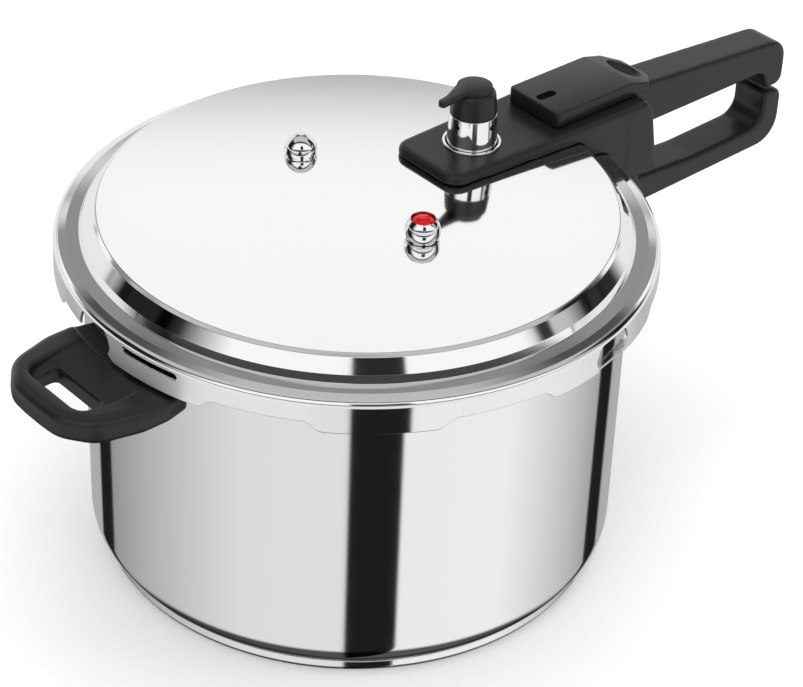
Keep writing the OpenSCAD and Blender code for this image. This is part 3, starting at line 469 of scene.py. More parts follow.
def moulding(name, colour, roughness, grain_height, scale=900.0, ior=1.45):
    """A moulded material with a fine grain."""
    material = bpy.data.materials.new(name)
    material.use_nodes = True
    tree = material.node_tree
    shader = tree.nodes["Principled BSDF"]
    shader.inputs["Base Color"].default_value = colour
    shader.inputs["Roughness"].default_value = roughness
    shader.inputs["IOR"].default_value = ior
    coords = tree.nodes.new("ShaderNodeTexCoord")
    grain = node(tree, "ShaderNodeTexNoise", Scale=scale, Detail=2.0)
    bump = node(tree, "ShaderNodeBump", Strength=0.25, Distance=grain_height * MM)
    tree.links.new(coords.outputs["Object"], grain.inputs["Vector"])
    tree.links.new(grain.outputs["Fac"], bump.inputs["Height"])
    tree.links.new(bump.outputs["Normal"], shader.inputs["Normal"])
    return material


def finish(slot):
    """The material of one of the record's slots, made when it is first asked for."""
    known = bpy.data.materials.get("canner_" + slot)
    if known:
        return known
    looks = bpy.context.scene.canner_finish
    name = "canner_" + slot
    if slot == "polished_steel":
        return metal(name, looks.steel, looks.steel_roughness, *POLISH)
    if slot in METALS:
        return metal(name, *METALS[slot])
    if slot == "silicone":
        return moulding(name, (0.7, 0.7, 0.67, 1), 0.45, 0.05, 300.0, 1.41)
    if slot == "red_enamel":
        return moulding(name, looks.button, 0.08, 0.005, 100.0, 1.5)
    return moulding(name, looks.plastic, looks.plastic_roughness, 0.06)


NODE_SLOTS = {
    "polished_steel": ["pot_shell", "base_cap", "lid_shell", "regulator_ring", "safety_dome",
                       "indicator_ball", "regulator_sleeve"],
    "aluminium": ["base_core"],
    "plain_steel": ["lower_handle_bracket", "side_handle_bracket", "lid_bracket", "vent_pipe",
                    "vent_nut", "vent_shield", "safety_seat", "safety_nut", "indicator_nut",
                    "lock_bar", "indicator_clip"],
    "screw_steel": ["lower_handle_screw", "side_handle_screw", "upper_handle_screws",
                    "lock_screws", "selector_screw"],
    "spring_steel": ["safety_spring", "regulator_spring"],
    "black_plastic": ["lower_handle", "side_handle", "upper_handle", "lock_button",
                      "selector_cap"],
    "silicone": ["gasket", "vent_washer", "safety_washer", "indicator_seal"],
    "brass": ["regulator_weight", "safety_piston"],
    "red_enamel": ["indicator_float"],
}


class CANNER_OT_finishes(bpy.types.Operator):
    """Gives every part of the frame its finish"""
    bl_idname = "canner.finishes"
    bl_label = "Frame finishes"

    def execute(self, context):
        for slot, names in NODE_SLOTS.items():
            for name in names:
                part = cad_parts[name]
                part.data.materials.clear()
                part.data.materials.append(finish(slot))
        return {"FINISHED"}


# ---------------------------------------------------------------- pot and base


LUG_COUNT, LUG_PHASE, LUG_ANGLE, LIP_ANGLE = 8, 11.25, 20, 18
LUGS = [LUG_PHASE + 360 / LUG_COUNT * i for i in range(LUG_COUNT)]
RIM_REACH = 4


def ring_blocks(name, r0, r1, z0, z1, azimuths, angle):
    """One curved block, copied round the axis to each azimuth."""
    pieces = []
    first = turned(name, [(r0, z0), (r1, z0), (r1, z1), (r0, z1), (r0, z0)], steps=20,
                   angle=angle, start=-angle / 2)
    bpy.ops.object.mode_set(mode="EDIT")
    bpy.ops.mesh.select_all(action="DESELECT")
    bpy.ops.mesh.select_mode(type="EDGE")
    bpy.ops.mesh.select_non_manifold()
    bpy.ops.mesh.edge_face_add()
    outward()
    bpy.ops.object.mode_set(mode="OBJECT")
    for azimuth in azimuths:
        only(first)
        bpy.ops.object.duplicate()
        copy = bpy.context.object
        copy.rotation_euler.z = math.radians(azimuth)
        settle()
        pieces.append(copy)
    only(first)
    bpy.ops.object.delete()
    return pieces


class CANNER_OT_pot(bpy.types.Operator):
    """Builds the pot's pressed shell with its lugs, and the base cap"""
    bl_idname = "canner.pot"
    bl_label = "Pot and base"

    def execute(self, context):
        inner = POT_R - SHEET
        outline = [(0, POT_Z)] + rounded([
            (0, POT_Z, 0), (POT_R, POT_Z, 14), (POT_R, RIM_Z - SHEET, 0.6),
            (POT_R + RIM_REACH, RIM_Z - SHEET, 0.4), (POT_R + RIM_REACH, RIM_Z, 0.4),
            (inner, RIM_Z, 0.8),
            (inner, POT_Z + SHEET, 12.5), (0, POT_Z + SHEET, 0)], steps=10)[1:]
        pot = turned("pot_body", outline)
        joined(pot, *ring_blocks("pot_lug", POT_R + RIM_REACH - 0.1, LUG_R, RIM_Z - SHEET,
                                 RIM_Z, LUGS, LUG_ANGLE))
        finished(pot, "pot", "polished_steel", "pot_shell")
        wall = 0.8
        outline = rounded([
            (0, 0, 0), (CAP_R, 0, 3), (CAP_R, CAP_RIM_Z, 0.35), (CAP_R - wall, CAP_RIM_Z, 0.35),
            (CAP_R - wall, wall, 2.2), (0, wall, 0)], steps=8)
        cap = turned("base_disc", outline)
        finished(cap, "pot", "polished_steel", "base_cap")
        return {"FINISHED"}


# ---------------------------------------------------------------- lid


# Azimuths where each skirt tab starts and ends, of the two notches, and of the window,
# which also has an angle across, a height and a level
TABS = [(-181.0, -157.7), (-137.9, -114.1), (-93.6, -60.0), (-44.0, -20.0), (-2.8, 25.2),
        (42.2, 70.2), (87.2, 115.2), (132.2, 160.2)]
NOTCHES = [-76.6, 174.4]
WINDOW = (-170.2, 13.4, 4.2, 177.8)
TAB_BLEND = 3.4   # degrees over which a tab's edge rises
NOTCH_HALF, NOTCH_HEIGHT = 13, 15
VALVE_HOLE_R, SCREW_HOLE_R = 5.2, 2.7
LIP_GAP = 0.6     # between the lid's lips and the pot's lugs


def tab_share(azimuth):
    """1 on a skirt tab, 0 between two tabs, and smoothly between."""
    best = 0.0
    for start, end in TABS:
        for turn in (-360, 0, 360):
            depth = min(azimuth + turn - start, end - azimuth - turn)
            best = max(best, min(1.0, max(0.0, depth / TAB_BLEND + 0.5)))
    return best * best * (3 - 2 * best)


class CANNER_OT_lid(bpy.types.Operator):
    """Builds the lid with its dome, sloped ring, flange, tabs, notches and lips"""
    bl_idname = "canner.lid"
    bl_label = "Lid"

    def execute(self, context):
        shape = context.scene.canner_shape
        rise, edge = shape.dome_rise / MM, shape.rim_edge / MM
        ball = (DOME_R ** 2 + rise ** 2) / (2 * rise)
        steps = 12

        def dome(r, drop=0.0):
            return DOME_EDGE_Z + rise - ball + math.sqrt(ball * ball - r * r) - drop

        outline = [(DOME_R * i / steps, dome(DOME_R * i / steps)) for i in range(steps)]
        outline += rounded([
            (*outline[-1], 0), (DOME_R, DOME_EDGE_Z, 1.6), (SLOPE_R, SLOPE_Z, 1.4),
            (STEP_R, STEP_Z, 1.0), (FLANGE_R[0], FLANGE_Z, 0.3),
            (FLANGE_R[1], FLANGE_Z - 0.65, 0.8), (SKIRT_R - 0.4, FLANGE_Z - 2.1, edge),
            (SKIRT_R, TAB_Z, 0.7), (SKIRT_R - SHEET, TAB_Z, 0.6),
            (SKIRT_R - SHEET - 0.4, FLANGE_Z - SHEET - 1.3, edge - 1.4),
            (FLANGE_R[0] - 0.9, FLANGE_Z - SHEET, 0.5), (STEP_R - 1.4, STEP_Z - 0.7, 0.6),
            (SLOPE_R - 1.1, SLOPE_Z - SHEET, 0.6), (DOME_R - 0.5, DOME_EDGE_Z - SHEET, 0.6),
            (0, dome(0, SHEET), 0)], steps=6)[1:]
        lid = turned("lid_pressing", outline, steps=540)
        self.shape_tabs(lid, shape.tab_step)
        tools = [self.notch_tool(a) for a in NOTCHES] + [self.window_tool()]
        holes = [(at, VALVE_HOLE_R) for at in ((VENT_X, 0), SAFETY, BALL)]
        holes += [((x, 0), SCREW_HOLE_R) for x in HANDLE_SCREWS]
        for at, r in holes:
            tools.append(rod("hole", at, r, DOME_Z - 15, DOME_Z + 5))
        carved(lid, *tools)
        lips = ring_blocks("lid_lip", LUG_R + LIP_GAP, SKIRT_R - SHEET + 0.05, TAB_Z,
                           TAB_Z + SHEET, LUGS, LIP_ANGLE)
        joined(lid, *lips)
        finished(lid, "lid", "polished_steel", "lid_shell", angle=32)
        lid.data.materials[0] = lid_finish()
        return {"FINISHED"}

    def shape_tabs(self, lid, step):
        """Lifts the skirt's bottom edge between the tabs."""
        only(lid)
        bpy.ops.object.mode_set(mode="EDIT")
        levels = 16
        for level in range(levels):
            def test(v, level=level):
                share = tab_share(math.degrees(math.atan2(v.co.y, v.co.x)))
                return v.co.z < (TAB_Z + 1.1) * MM and round((1 - share) * levels) == level + 1
            pick(lid, "VERT", test)
            bpy.ops.transform.translate(value=(0, 0, step * (level + 1) / levels))
        bpy.ops.object.mode_set(mode="OBJECT")

    def skirt_tool(self, name, outline, azimuth):
        """A block with this outline that goes through the skirt at an azimuth."""
        tool = slab(name, outline, "X", SKIRT_R - 9, SKIRT_R + 5)
        tool.rotation_euler.z = math.radians(azimuth)
        settle()
        return tool

    def notch_tool(self, azimuth):
        """A skirt notch, wider above its mouth."""
        mouth, waist, roof = NOTCH_HALF - 1, NOTCH_HALF + 1.5, NOTCH_HALF - 1.5
        top_z = TAB_Z + NOTCH_HEIGHT
        half = [(-mouth, TAB_Z - 3, 0), (-mouth, TAB_Z + 1.5, 2.5), (-waist, TAB_Z + 7, 4),
                (-roof, top_z, 4.5)]
        outline = half + [(-y, z, r) for y, z, r in reversed(half)]
        return self.skirt_tool("notch", rounded(outline), azimuth)

    def window_tool(self):
        """The gasket window, a level slot with rounded ends."""
        azimuth, angle, height, z = WINDOW
        half, end_r = math.radians(angle / 2) * SKIRT_R, height / 2
        outline = [(-half, z - end_r, end_r), (half, z - end_r, end_r),
                   (half, z + end_r, end_r), (-half, z + end_r, end_r)]
        return self.skirt_tool("window", rounded(outline, closed=True), azimuth)


# ---------------------------------------------------------------- long handles


def mirrored(half):
    """A closed outline from its half on one side of the X axis."""
    return [(x, -y, r) for x, y, r in half] + [(x, y, r) for x, y, r in reversed(half)]


# Sizes of the two long grips: half widths, the levels of the upper one's underside and its hook
GRIP_HALF, POT_GRIP_HALF, BLOCK_HALF = 11.5, 12.3, 16
GRIP_UNDER_Z, HOOK_Z = 178, 166.3
BAR_HALF = 4.4


class CANNER_OT_upper_handle(bpy.types.Operator):
    """Builds the lid's handle: housing over the dome, tail past the skirt, and grip"""
    bl_idname = "canner.upper_handle"
    bl_label = "Upper handle"

    def execute(self, context):
        shape = context.scene.canner_shape
        plan = rounded(mirrored([(HANDLE_X, 24.5, 9), (TAIL_X, HANDLE_Y, 4.5)]), closed=True)
        housing = slab("handle_housing", plan, "Z", TAIL_Z, HANDLE_Z,
                       edges=(0.8, shape.handle_edge / MM), segments=5)
        tail = slab("handle_tail", rounded([
            (165, TAIL_Z, 0), (165, HANDLE_Z - 2, 0), (TAIL_X + 1.5, HANDLE_Z - 2, 4),
            (TAIL_X + 9, TAIL_Z, 3)], closed=True), "Y", -HANDLE_Y, HANDLE_Y, edges=(6, 6),
            segments=5)
        carved(housing, self.lid_tool())
        root_z = HANDLE_Z - 1.2
        outline = rounded([
            (TAIL_X - 12, GRIP_UNDER_Z + 0.3, 0), (TAIL_X - 12, root_z, 0),
            (TAIL_X + 14, root_z, 10), (GRIP_X, root_z - 9.6, 12), (GRIP_X, HOOK_Z, 6),
            (GRIP_X - 13.5, HOOK_Z, 4), (GRIP_X - 17.5, GRIP_UNDER_Z, 9),
            (TAIL_X + 15, GRIP_UNDER_Z, 8), (TAIL_X - 2, GRIP_UNDER_Z - 6, 2)], closed=True)
        edge = shape.grip_edge / MM
        grip = slab("handle_grip", outline, "Y", -GRIP_HALF, GRIP_HALF, edges=(edge, edge),
                    segments=5)
        joined(housing, tail, grip)
        moulded(housing, shape.grain)
        under_z = DOME_Z + 0.2
        shaft_x, end_x = BAR_X[1] - 8.8, BAR_X[1] + 1
        rooms = [
            rod("ring_hole", (VENT_X, 0), 15.2, TAIL_Z, HANDLE_Z + 3, vertices=96),
            bar("bracket_room", (HANDLE_SCREWS[0] - 7.3, -7.3, under_z - 3),
                (HANDLE_SCREWS[1] + 7.3, 7.3, under_z + 1.7))]
        rooms += [rod("screw_room", (x, 0), 2.5, under_z, HANDLE_Z - 1) for x in HANDLE_SCREWS]
        rooms += [
            bar("bar_channel", (BAR_X[0] - LOCK_TRAVEL - 3, -BAR_HALF, under_z - 3),
                (end_x, BAR_HALF, under_z + 2.8)),
            bar("tongue_shaft", (shaft_x, -BAR_HALF, TAIL_Z - 1),
                (end_x, BAR_HALF, under_z + 0.1))]
        reach = POST_HALF + LOCK_GAP
        rooms += [bar("post_slot", (x - LOCK_TRAVEL - reach, -reach, under_z),
                      (x + reach, reach, HANDLE_Z + 2)) for x in POSTS]
        carved(housing, *rooms, crossing=True)
        finished(housing, "lid", "black_plastic", "upper_handle", angle=40)
        return {"FINISHED"}

    def lid_tool(self):
        """The lid's outer form with a small gap, to cut the housing's underside."""
        gap = 0.35
        outline = [(0, TAIL_Z - 5), (SKIRT_R + gap, TAIL_Z - 5), (SKIRT_R + gap, FLANGE_Z - 4.6),
                   (SKIRT_R - 1, FLANGE_Z - 2.2), (SKIRT_R - 3, FLANGE_Z - 1.2),
                   (FLANGE_R[1], FLANGE_Z - 0.65 + gap), (FLANGE_R[0] + gap, FLANGE_Z + gap),
                   (STEP_R + gap, STEP_Z + gap), (SLOPE_R + gap, SLOPE_Z + gap),
                   (DOME_R, DOME_EDGE_Z + gap),
                   (90, DOME_Z - 1.3 + gap), (50, DOME_Z - 0.3 + gap), (0, DOME_Z + gap)]
        return turned("lid_form", outline, steps=180)


class CANNER_OT_lower_handle(bpy.types.Operator):
    """Builds the pot's long handle with its block and turned-up end"""
    bl_idname = "canner.lower_handle"
    bl_label = "Lower handle"

    def execute(self, context):
        shape = context.scene.canner_shape
        block_z = TAIL_Z - 1
        x0 = POT_R - 6
        block = slab("pot_handle", rounded([
            (x0, LOWER_Z, 0), (x0, block_z, 0), (TAIL_X + 5, block_z, 3),
            (TAIL_X + 11, 143.5, 3), (TAIL_X + 12, 131, 3), (TAIL_X + 3, LOWER_Z, 4)],
            closed=True), "Y", -BLOCK_HALF, BLOCK_HALF, edges=(2.2, 2.2))
        edge = shape.grip_edge / MM
        grip = slab("pot_grip", rounded([
            (TAIL_X - 10, LOWER_Z + 0.5, 0), (TAIL_X - 10, 150, 0), (TAIL_X + 10, 145, 8),
            (TAIL_X + 60, 141.8, 60), (GRIP_X - 14, 143, 13), (GRIP_X - 14, LOWER_TOP_Z, 2.5),
            (GRIP_X, LOWER_TOP_Z, 6), (GRIP_X, LOWER_Z + 3, 21), (TAIL_X + 18, LOWER_Z + 0.5, 10)],
            closed=True), "Y", -POT_GRIP_HALF, POT_GRIP_HALF, edges=(edge, edge), segments=5)
        joined(block, grip)
        moulded(block, shape.grain, 4)
        track_z = (block_z - 7.6, block_z + 4)
        track = ring_blocks("track", BAR_X[1] - 4, BAR_X[1] + 2, *track_z, [15], 31)[0]
        carved(block, rod("pot_form", (0, 0), POT_R + WALL_GAP, LOWER_Z - 9, RIM_Z, vertices=360),
               track,
               bar("tongue_notch", (BAR_X[1] - 9, -4.8, track_z[0]),
                   (BAR_X[1] - 3.5, 4.8, track_z[1])),
               *bracket_rooms(1, 142.7, LOWER_Z), crossing=True)
        finished(block, "pot", "black_plastic", "lower_handle", angle=40)
        return {"FINISHED"}


# ---------------------------------------------------------------- side handle


class CANNER_OT_side_handle(bpy.types.Operator):
    """Builds the short handle with its rounded loop, sloped apron and finger room"""
    bl_idname = "canner.side_handle"
    bl_label = "Side handle"

    def execute(self, context):
        shape = context.scene.canner_shape
        loop_z = SIDE_Z - 14
        plan = mirrored([(-136, 38, 0), (-151, 41.5, 14), (-166, 41.4, 20),
                         (SIDE_X + 12.5, 35.4, 18),
                         (SIDE_X + 0.8, 19, 20), (SIDE_X, 6, 10)])
        loop = slab("side_grip", rounded(plan, closed=True, steps=8), "Z", loop_z, SIDE_Z,
                    edges=(3.5, 5.5), segments=5)
        root = slab("side_root", rounded(mirrored([
            (-136, 34.5, 0), (-156, 34, 5), (-174, 29, 7)]), closed=True), "Z",
            SIDE_FOOT_Z, loop_z + 3, edges=(2, 0), segments=3)
        joined(loop, root)
        top, end = SIDE_Z + 3, SIDE_X + 12
        room = slab("finger_room", rounded(mirrored([(-174.5, 19.5, 2), (end, 19.5, 4)]),
                                           closed=True), "Z", SIDE_FOOT_Z - 5, top)
        apron = slab("apron", rounded(mirrored([(-140, 27, 0), (-172, 25, 4), (end, 22.5, 7)]),
                                      closed=True), "Z", SIDE_Z - 12, top)
        slope = slab("slope", [(-130, SIDE_Z - 0.6), (-154, SIDE_Z - 0.6), (end - 6, SIDE_Z - 7.4),
                               (end - 6, top + 1), (-130, top + 1)], "Y", -40, 40)
        carved(apron, slope, operation="INTERSECT")
        carved(loop, room)
        carved(loop, apron)
        carved(loop, rod("pot_form", (0, 0), POT_R + WALL_GAP, SIDE_FOOT_Z - 9, SIDE_Z + 9,
                         vertices=360))
        carved(loop, rod("skirt_form", (0, 0), SKIRT_R - 0.5, SIDE_Z - 2.6, SIDE_Z + 9,
                         vertices=360))
        moulded(loop, shape.grain, 10)
        carved(loop, *bracket_rooms(-1, 143.3, SIDE_FOOT_Z), crossing=True)
        finished(loop, "pot", "black_plastic", "side_handle", angle=40)
        return {"FINISHED"}


# ---------------------------------------------------------------- lock button


class CANNER_OT_lock_button(bpy.types.Operator):
    """Builds the sliding lock button with its sight hole and thumb scoop"""
    bl_idname = "canner.lock_button"
    bl_label = "Lock button"

    def execute(self, context):
        front, back, half = BUTTON
        foot = HANDLE_Z + 0.4
        plan = mirrored([(front, half, 2.6), (back - 8.5, half, 3), (back, half - 8.5, 3)])
        button = slab("lock_slider", rounded(plan, closed=True), "Z", foot, BUTTON_TOP_Z,
                      edges=(0, 0))
        wedge = slab("wedge", [(front - 5, foot - 20), (front - 5, BUTTON_TOP_Z + 0.01),
                               (front + 55, BUTTON_TOP_Z + 0.01), (back + 4, foot + 2.2),
                               (back + 4, foot - 20)], "Y", -half - 5, half + 5)
        carved(button, wedge, operation="INTERSECT")
        applied(button, "BEVEL", width=0.9 * MM, segments=3, limit_method="ANGLE",
                angle_limit=math.radians(25))
        hole = slab("sight_hole", rounded(
            mirrored([(front + 3.2, 2.8, 2.7), (front + 15.8, 2.8, 2.7)]), closed=True),
            "Z", BUTTON_TOP_Z - 3, BUTTON_TOP_Z + 3)
        fresh("thumb_scoop", bpy.ops.mesh.primitive_uv_sphere_add, segments=64, ring_count=32,
              radius=MM, location=place((back - 8.5, 0, BUTTON_TOP_Z - 2.4)),
              scale=(7, 12.2, 5.4))
        settle()
        carved(button, hole, bpy.context.object)
        joined(button, *[bar("post", (x - POST_HALF, -POST_HALF, DOME_Z + 2.6),
                             (x + POST_HALF, POST_HALF, foot + 1)) for x in POSTS])
        finished(button, "lock", "black_plastic", "lock_button", angle=35)
        return {"FINISHED"}


# ---------------------------------------------------------------- regulator and valves


class CANNER_OT_regulator(bpy.types.Operator):
    """Builds the regulator's ring, perforated sleeve and selector cap with its lever"""
    bl_idname = "canner.regulator"
    bl_label = "Pressure regulator"

    def execute(self, context):
        at, bore = (VENT_X, 0), 14.0
        ring = turned("bright_ring", rounded([
            (bore, HANDLE_Z - 3, 0), (bore + 1, HANDLE_Z - 3, 0), (bore + 1, HANDLE_Z, 0),
            (RING_R, HANDLE_Z, 0.3), (RING_R, HANDLE_Z + 1.2, 0.5), (bore, HANDLE_Z + 1.2, 0.5),
            (bore, HANDLE_Z - 3, 0)]), at, steps=96)
        finished(ring, "lid", "polished_steel", "regulator_ring")
        z0, z1 = SLEEVE_Z
        top_r = SLEEVE_R - 0.9
        sleeve = turned("perforated_sleeve", rounded([
            (top_r - 1, z0, 0), (SLEEVE_R, z0, 0.5), (top_r, z1, 0.3), (top_r - 1, z1, 0.3),
            (top_r - 1, z0, 0)]), at, steps=96)
        carved(sleeve, *drills("steam_hole", at, 12, 8, 1.5, z1 - 7.6, z1 - 1.6, 32))
        finished(sleeve, "regulator", "polished_steel", "regulator_sleeve")
        z0, z1 = CAP_Z
        knob_z = z1 - 2.6
        cap = turned("selector_knob", rounded([
            (8.6, z0, 0), (KNOB_R, z0, 0.3), (KNOB_R - 1.1, knob_z, 2.6), (3, knob_z, 0),
            (3, knob_z - 2, 0), (8.6, knob_z - 2, 0), (8.6, z0, 0)]), at, steps=96)
        disc = [(x, y, 0) for x, y in arc(9.4, 136, -157, -8, at)]
        lever = slab("selector_lever", rounded(disc + [
            (VENT_X - 10, -4.0, 1), (LEVER_X + 8, -4.3, 8), (LEVER_X + 0.4, -5.2, 1.8),
            (LEVER_X + 0.8, -0.6, 1.8), (LEVER_X + 8, 0.6, 8), (VENT_X - 9.5, 5.0, 6)],
            closed=True), "Z", knob_z - 0.4, z1, edges=(0.2, 0.4), segments=2)
        joined(cap, lever)
        finished(cap, "selector", "black_plastic", "selector_cap", angle=35)
        return {"FINISHED"}


class CANNER_OT_valves(bpy.types.Operator):
    """Builds the safety valve's dome, and the indicator's ball with its red button"""
    bl_idname = "canner.valves"
    bl_label = "Small valves"

    def execute(self, context):
        z0, z1 = SAFETY_Z
        wall, curve_z = 1.2, z0 + 1.6
        rise = z1 - curve_z
        outline = [(SAFETY_R - 0.9, z0), (SAFETY_R - 0.9, z0 + 0.9), (SAFETY_R, z0 + 1.3)]
        outline += [(SAFETY_R * c, curve_z + rise * s) for c, s in arc(1, 0, 90, 6)]
        outline += [(0, z1)] + [((SAFETY_R - wall) * c, curve_z + (rise - wall) * s)
                                for c, s in arc(1, 90, -1, -6)]
        outline += [(SAFETY_R - 0.9 - wall, z0), (SAFETY_R - 0.9, z0)]
        dome = turned("safety_cover", outline, SAFETY, steps=96)
        carved(dome, *drills("vent_hole", SAFETY, 8, -42, 0.9, z0 + 1, z0 + 7, 24))
        finished(dome, "lid", "polished_steel", "safety_dome", angle=40)
        foot = SAFETY_Z[0] + 0.1
        end = side("indicator_ball", 0, 2)
        outline = [(2.2, end), (5.0, end), (5.0, foot + 0.2), (8.3, foot + 0.2),
                   (8.3, foot + 0.5), (7.9, foot + 0.6), (7.9, foot + 1.0)]
        outline += arc(BALL_R, -24, 45, 4, (0, foot + 4.8))
        top = outline[-1][1]
        outline += [(6.6, top + 0.1), (6.6, foot + 7.0), (2.2, foot + 7.0), (2.2, end)]
        ball = turned("indicator_body", outline, BALL, steps=96)
        finished(ball, "lid", "polished_steel", "indicator_ball", angle=40)
        button_z = foot + 7.3
        stem_end = side("indicator_float", 0, 2)
        button_r, edge_z, peak = 6.2, button_z + 1.4, BALL_TOP_Z + 0.4
        outline = [(0, stem_end), (1.9, stem_end), (1.9, button_z), (button_r, button_z)]
        outline += [(button_r * c, edge_z + (peak - edge_z) * s) for c, s in arc(1, 0, 90, 9)]
        outline.append((0, peak))
        button = turned("indicator_button", outline, BALL, steps=96)
        finished(button, "indicator", "red_enamel", "indicator_float", angle=40)
        return {"FINISHED"}


# ---------------------------------------------------------------- studio


def ramp(tree, stops, interpolation="LINEAR"):
    """A colour ramp of grey stops (place, value)."""
    made = tree.nodes.new("ShaderNodeValToRGB")
    made.color_ramp.interpolation = interpolation
    elements = made.color_ramp.elements
    while len(elements) > 1:
        elements.remove(elements[-1])
    for i, (where, value) in enumerate(stops):
        element = elements[0] if i == 0 else elements.new(where)
        element.position = where
        element.color = (value, value, value, 1)
    return made


def maths(tree, operation, a, b=None):
    """A maths node between outputs or numbers."""
    made = tree.nodes.new("ShaderNodeMath")
    made.operation = operation
    for socket, value in zip(made.inputs, (a, b)):
        if isinstance(value, (int, float)):
            socket.default_value = value
        elif value is not None:
            tree.links.new(value, socket)
    return made.outputs[0]


TENT_TURN = 41   # degrees from the object's axes to the camera's side
CAMERA_AT = (-0.74141, -0.85379, 0.89853)
CAMERA_TURN = (55.1089, -1.9649, -40.855)
LENS, SENSOR = 117.04, 36


class CANNER_OT_stage(bpy.types.Operator):
    """Sets up the pale floor, the soft studio tent with its dark flags, and the camera"""
    bl_idname = "canner.stage"
    bl_label = "Studio"

    def execute(self, context):
        self.tent(context)
        self.floor()
        self.lamps()
        self.camera(context)
        context.scene.view_settings.view_transform = "Standard"
        return {"FINISHED"}

    def tent(self, context):
        """A white tent round the object, with dark flags and grey panels in it."""
        world = bpy.data.worlds.new("tent")
        context.scene.world = world
        world.use_nodes = True
        tree = world.node_tree
        where = tree.nodes.new("ShaderNodeTexCoord")
        turn = tree.nodes.new("ShaderNodeVectorRotate")
        turn.rotation_type = "Z_AXIS"
        turn.inputs["Angle"].default_value = math.radians(TENT_TURN)
        split = tree.nodes.new("ShaderNodeSeparateXYZ")
        tree.links.new(where.outputs["Generated"], turn.inputs["Vector"])
        tree.links.new(turn.outputs["Vector"], split.inputs["Vector"])
        x, y, z = split.outputs
        to_degrees = 180 / math.pi
        behind = maths(tree, "MULTIPLY", y, -1)
        # Azimuth from the camera's side, height above the horizon, and the angle over the top
        azimuth = maths(tree, "MULTIPLY", maths(tree, "ARCTAN2", x, behind), to_degrees)
        height = maths(tree, "MULTIPLY", maths(tree, "ARCSINE", z), to_degrees)
        over = maths(tree, "MULTIPLY", maths(tree, "ARCTAN2", z, y), to_degrees)

        def scaled(value):
            return maths(tree, "DIVIDE", maths(tree, "ADD", value, 180), 360)

        def stops(pairs):
            return [((angle + 180) / 360, value) for angle, value in pairs]

        # Stops are (degrees, brightness): first the panels over and behind the object, then
        # those round its lower half, then the masks in front, at the sides and at the back
        sky = ramp(tree, stops([
            (-180, 0.82), (-90, 0.8), (0, 0.86), (20, 0.86), (23.5, 0.4), (25.5, 0.7),
            (28, 0.93), (31, 1), (41, 0.98), (43.5, 0.27), (56, 0.26), (59, 0.52), (102, 0.56),
            (105, 0.03), (113, 0.03), (117, 0.7), (122, 1), (158, 1), (162, 0.055),
            (170, 0.055), (173, 0.8), (180, 0.82)]))
        tree.links.new(scaled(over), sky.inputs["Fac"])
        low = ramp(tree, stops([
            (-180, 0.43), (-142, 0.43), (-141, 0.012), (-128, 0.012), (-127, 0.3), (-46, 0.76),
            (-1.5, 0.78), (-0.8, 0.012), (21.8, 0.012), (22.5, 0.88), (70, 0.9), (124, 0.42),
            (128.5, 0.4), (129.2, 0.012), (143, 0.012), (143.8, 0.43), (180, 0.43)]))
        tree.links.new(scaled(azimuth), low.inputs["Fac"])
        front = ramp(tree, stops([
            (-180, 1), (-1.5, 1), (-0.8, 0.02), (21.8, 0.02), (22.5, 1), (180, 1)]))
        tree.links.new(scaled(azimuth), front.inputs["Fac"])
        sides = ramp(tree, stops([
            (-180, 1), (-116, 1), (-104, 0.03), (-74, 0.03), (-52, 1), (92, 1), (102, 0.03),
            (120, 0.03), (130, 1), (180, 1)]))
        tree.links.new(scaled(azimuth), sides.inputs["Fac"])
        back = ramp(tree, stops([
            (-180, 1), (-169.5, 1), (-168, 0.28), (-152, 0.3), (-148, 1), (148, 1), (152, 0.3),
            (168, 0.28), (169.5, 1), (180, 1)]))
        tree.links.new(scaled(azimuth), back.inputs["Fac"])
        nadir = ramp(tree, stops([(-55, 0.1), (-46, 1), (180, 1)]))
        tree.links.new(scaled(height), nadir.inputs["Fac"])
        shade = sky.outputs["Color"]
        for mask, band in ((front, [(20, 0), (23, 1), (43, 1), (46, 0)]),
                           (sides, [(-2, 0), (2, 1), (43, 1), (46, 0)]),
                           (back, [(25, 0), (28, 1), (50, 1), (54, 0)])):
            level = ramp(tree, stops(band))
            tree.links.new(scaled(height), level.inputs["Fac"])
            shade = self.blend(tree, level.outputs["Color"], shade, mask.outputs["Color"],
                               "MULTIPLY")
        lower = self.blend(tree, None, low.outputs["Color"], nadir.outputs["Color"], "MULTIPLY")
        lower_part = ramp(tree, stops([(-30, 1), (-25, 0)]))
        tree.links.new(scaled(height), lower_part.inputs["Fac"])
        whole = self.blend(tree, lower_part.outputs["Color"], shade, lower, "MIX")
        tree.links.new(whole, tree.nodes["Background"].inputs["Color"])

    def blend(self, tree, factor, a, b, kind):
        """A colour mix of two outputs."""
        made = tree.nodes.new("ShaderNodeMix")
        made.data_type = "RGBA"
        made.blend_type = kind
        if factor:
            tree.links.new(factor, made.inputs["Factor"])
        else:
            made.inputs["Factor"].default_value = 1
        tree.links.new(a, made.inputs["A"])
        tree.links.new(b, made.inputs["B"])
        return made.outputs["Result"]

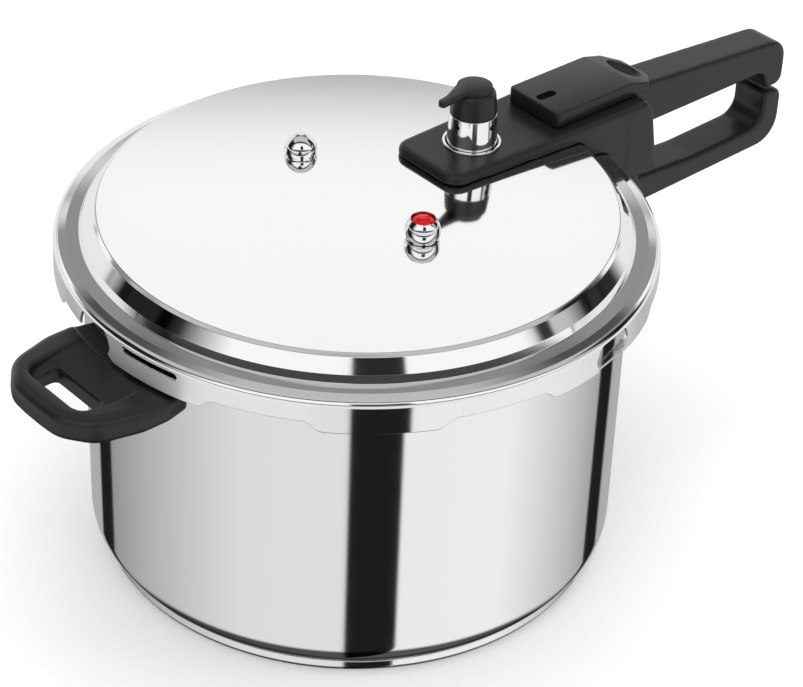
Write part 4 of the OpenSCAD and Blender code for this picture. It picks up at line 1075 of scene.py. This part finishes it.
    def floor(self):
        """A plain pale floor."""
        fresh("floor", bpy.ops.mesh.primitive_plane_add, size=30, location=(0, 0, 0))
        settle()
        floor = bpy.context.object
        material = bpy.data.materials.new("pale_floor")
        material.use_nodes = True
        shader = material.node_tree.nodes["Principled BSDF"]
        shader.inputs["Base Color"].default_value = (0.95, 0.95, 0.95, 1)
        shader.inputs["Roughness"].default_value = 0.9
        shader.inputs["Specular IOR Level"].default_value = 0.0
        shader.inputs["Emission Color"].default_value = (1, 1, 1, 1)
        shader.inputs["Emission Strength"].default_value = 0.12
        floor.data.materials.append(material)
        floor.visible_glossy = False

    def lamps(self):
        """One wide soft lamp overhead."""
        bpy.ops.object.light_add(type="AREA", location=(0, 0, 3))
        lamp = bpy.context.object
        lamp.name = lamp.data.name = "overhead"
        lamp.data.size = 4
        lamp.data.energy = 90
        lamp.visible_glossy = False

    def camera(self, context):
        """The camera, high in front of the object and to its left."""
        bpy.ops.object.camera_add(location=CAMERA_AT,
                                  rotation=[math.radians(a) for a in CAMERA_TURN])
        camera = bpy.context.object
        camera.name = camera.data.name = "camera"
        camera.data.lens = LENS
        camera.data.sensor_width = SENSOR
        camera.data.clip_start = 0.05
        context.scene.camera = camera


class CANNER_PT_panel(bpy.types.Panel):
    """Buttons that build the canner piece by piece"""
    bl_idname = "CANNER_PT_panel"
    bl_label = "Pressure canner"
    bl_space_type = "VIEW_3D"
    bl_region_type = "UI"
    bl_category = "Canner"

    def draw(self, context):
        layout = self.layout
        for group in (context.scene.canner_shape, context.scene.canner_finish):
            box = layout.box()
            for name in group.__annotations__:
                box.prop(group, name)
        for step in STEPS:
            layout.operator(step.bl_idname)


STEPS = (
    CANNER_OT_finishes, CANNER_OT_pot, CANNER_OT_lid, CANNER_OT_upper_handle,
    CANNER_OT_lower_handle, CANNER_OT_side_handle, CANNER_OT_lock_button,
    CANNER_OT_regulator, CANNER_OT_valves, CANNER_OT_stage,
)
CLASSES = (CANNER_PG_shape, CANNER_PG_finish) + STEPS + (CANNER_PT_panel,)


def register():
    for made in CLASSES:
        bpy.utils.register_class(made)
    bpy.types.Scene.canner_shape = bpy.props.PointerProperty(type=CANNER_PG_shape)
    bpy.types.Scene.canner_finish = bpy.props.PointerProperty(type=CANNER_PG_finish)


def unregister():
    del bpy.types.Scene.canner_finish
    del bpy.types.Scene.canner_shape
    for made in reversed(CLASSES):
        bpy.utils.unregister_class(made)


def main():
    register()
    for step in STEPS:
        group, name = step.bl_idname.split(".")
        getattr(getattr(bpy.ops, group), name)()


if __name__ == "__main__":
    main()
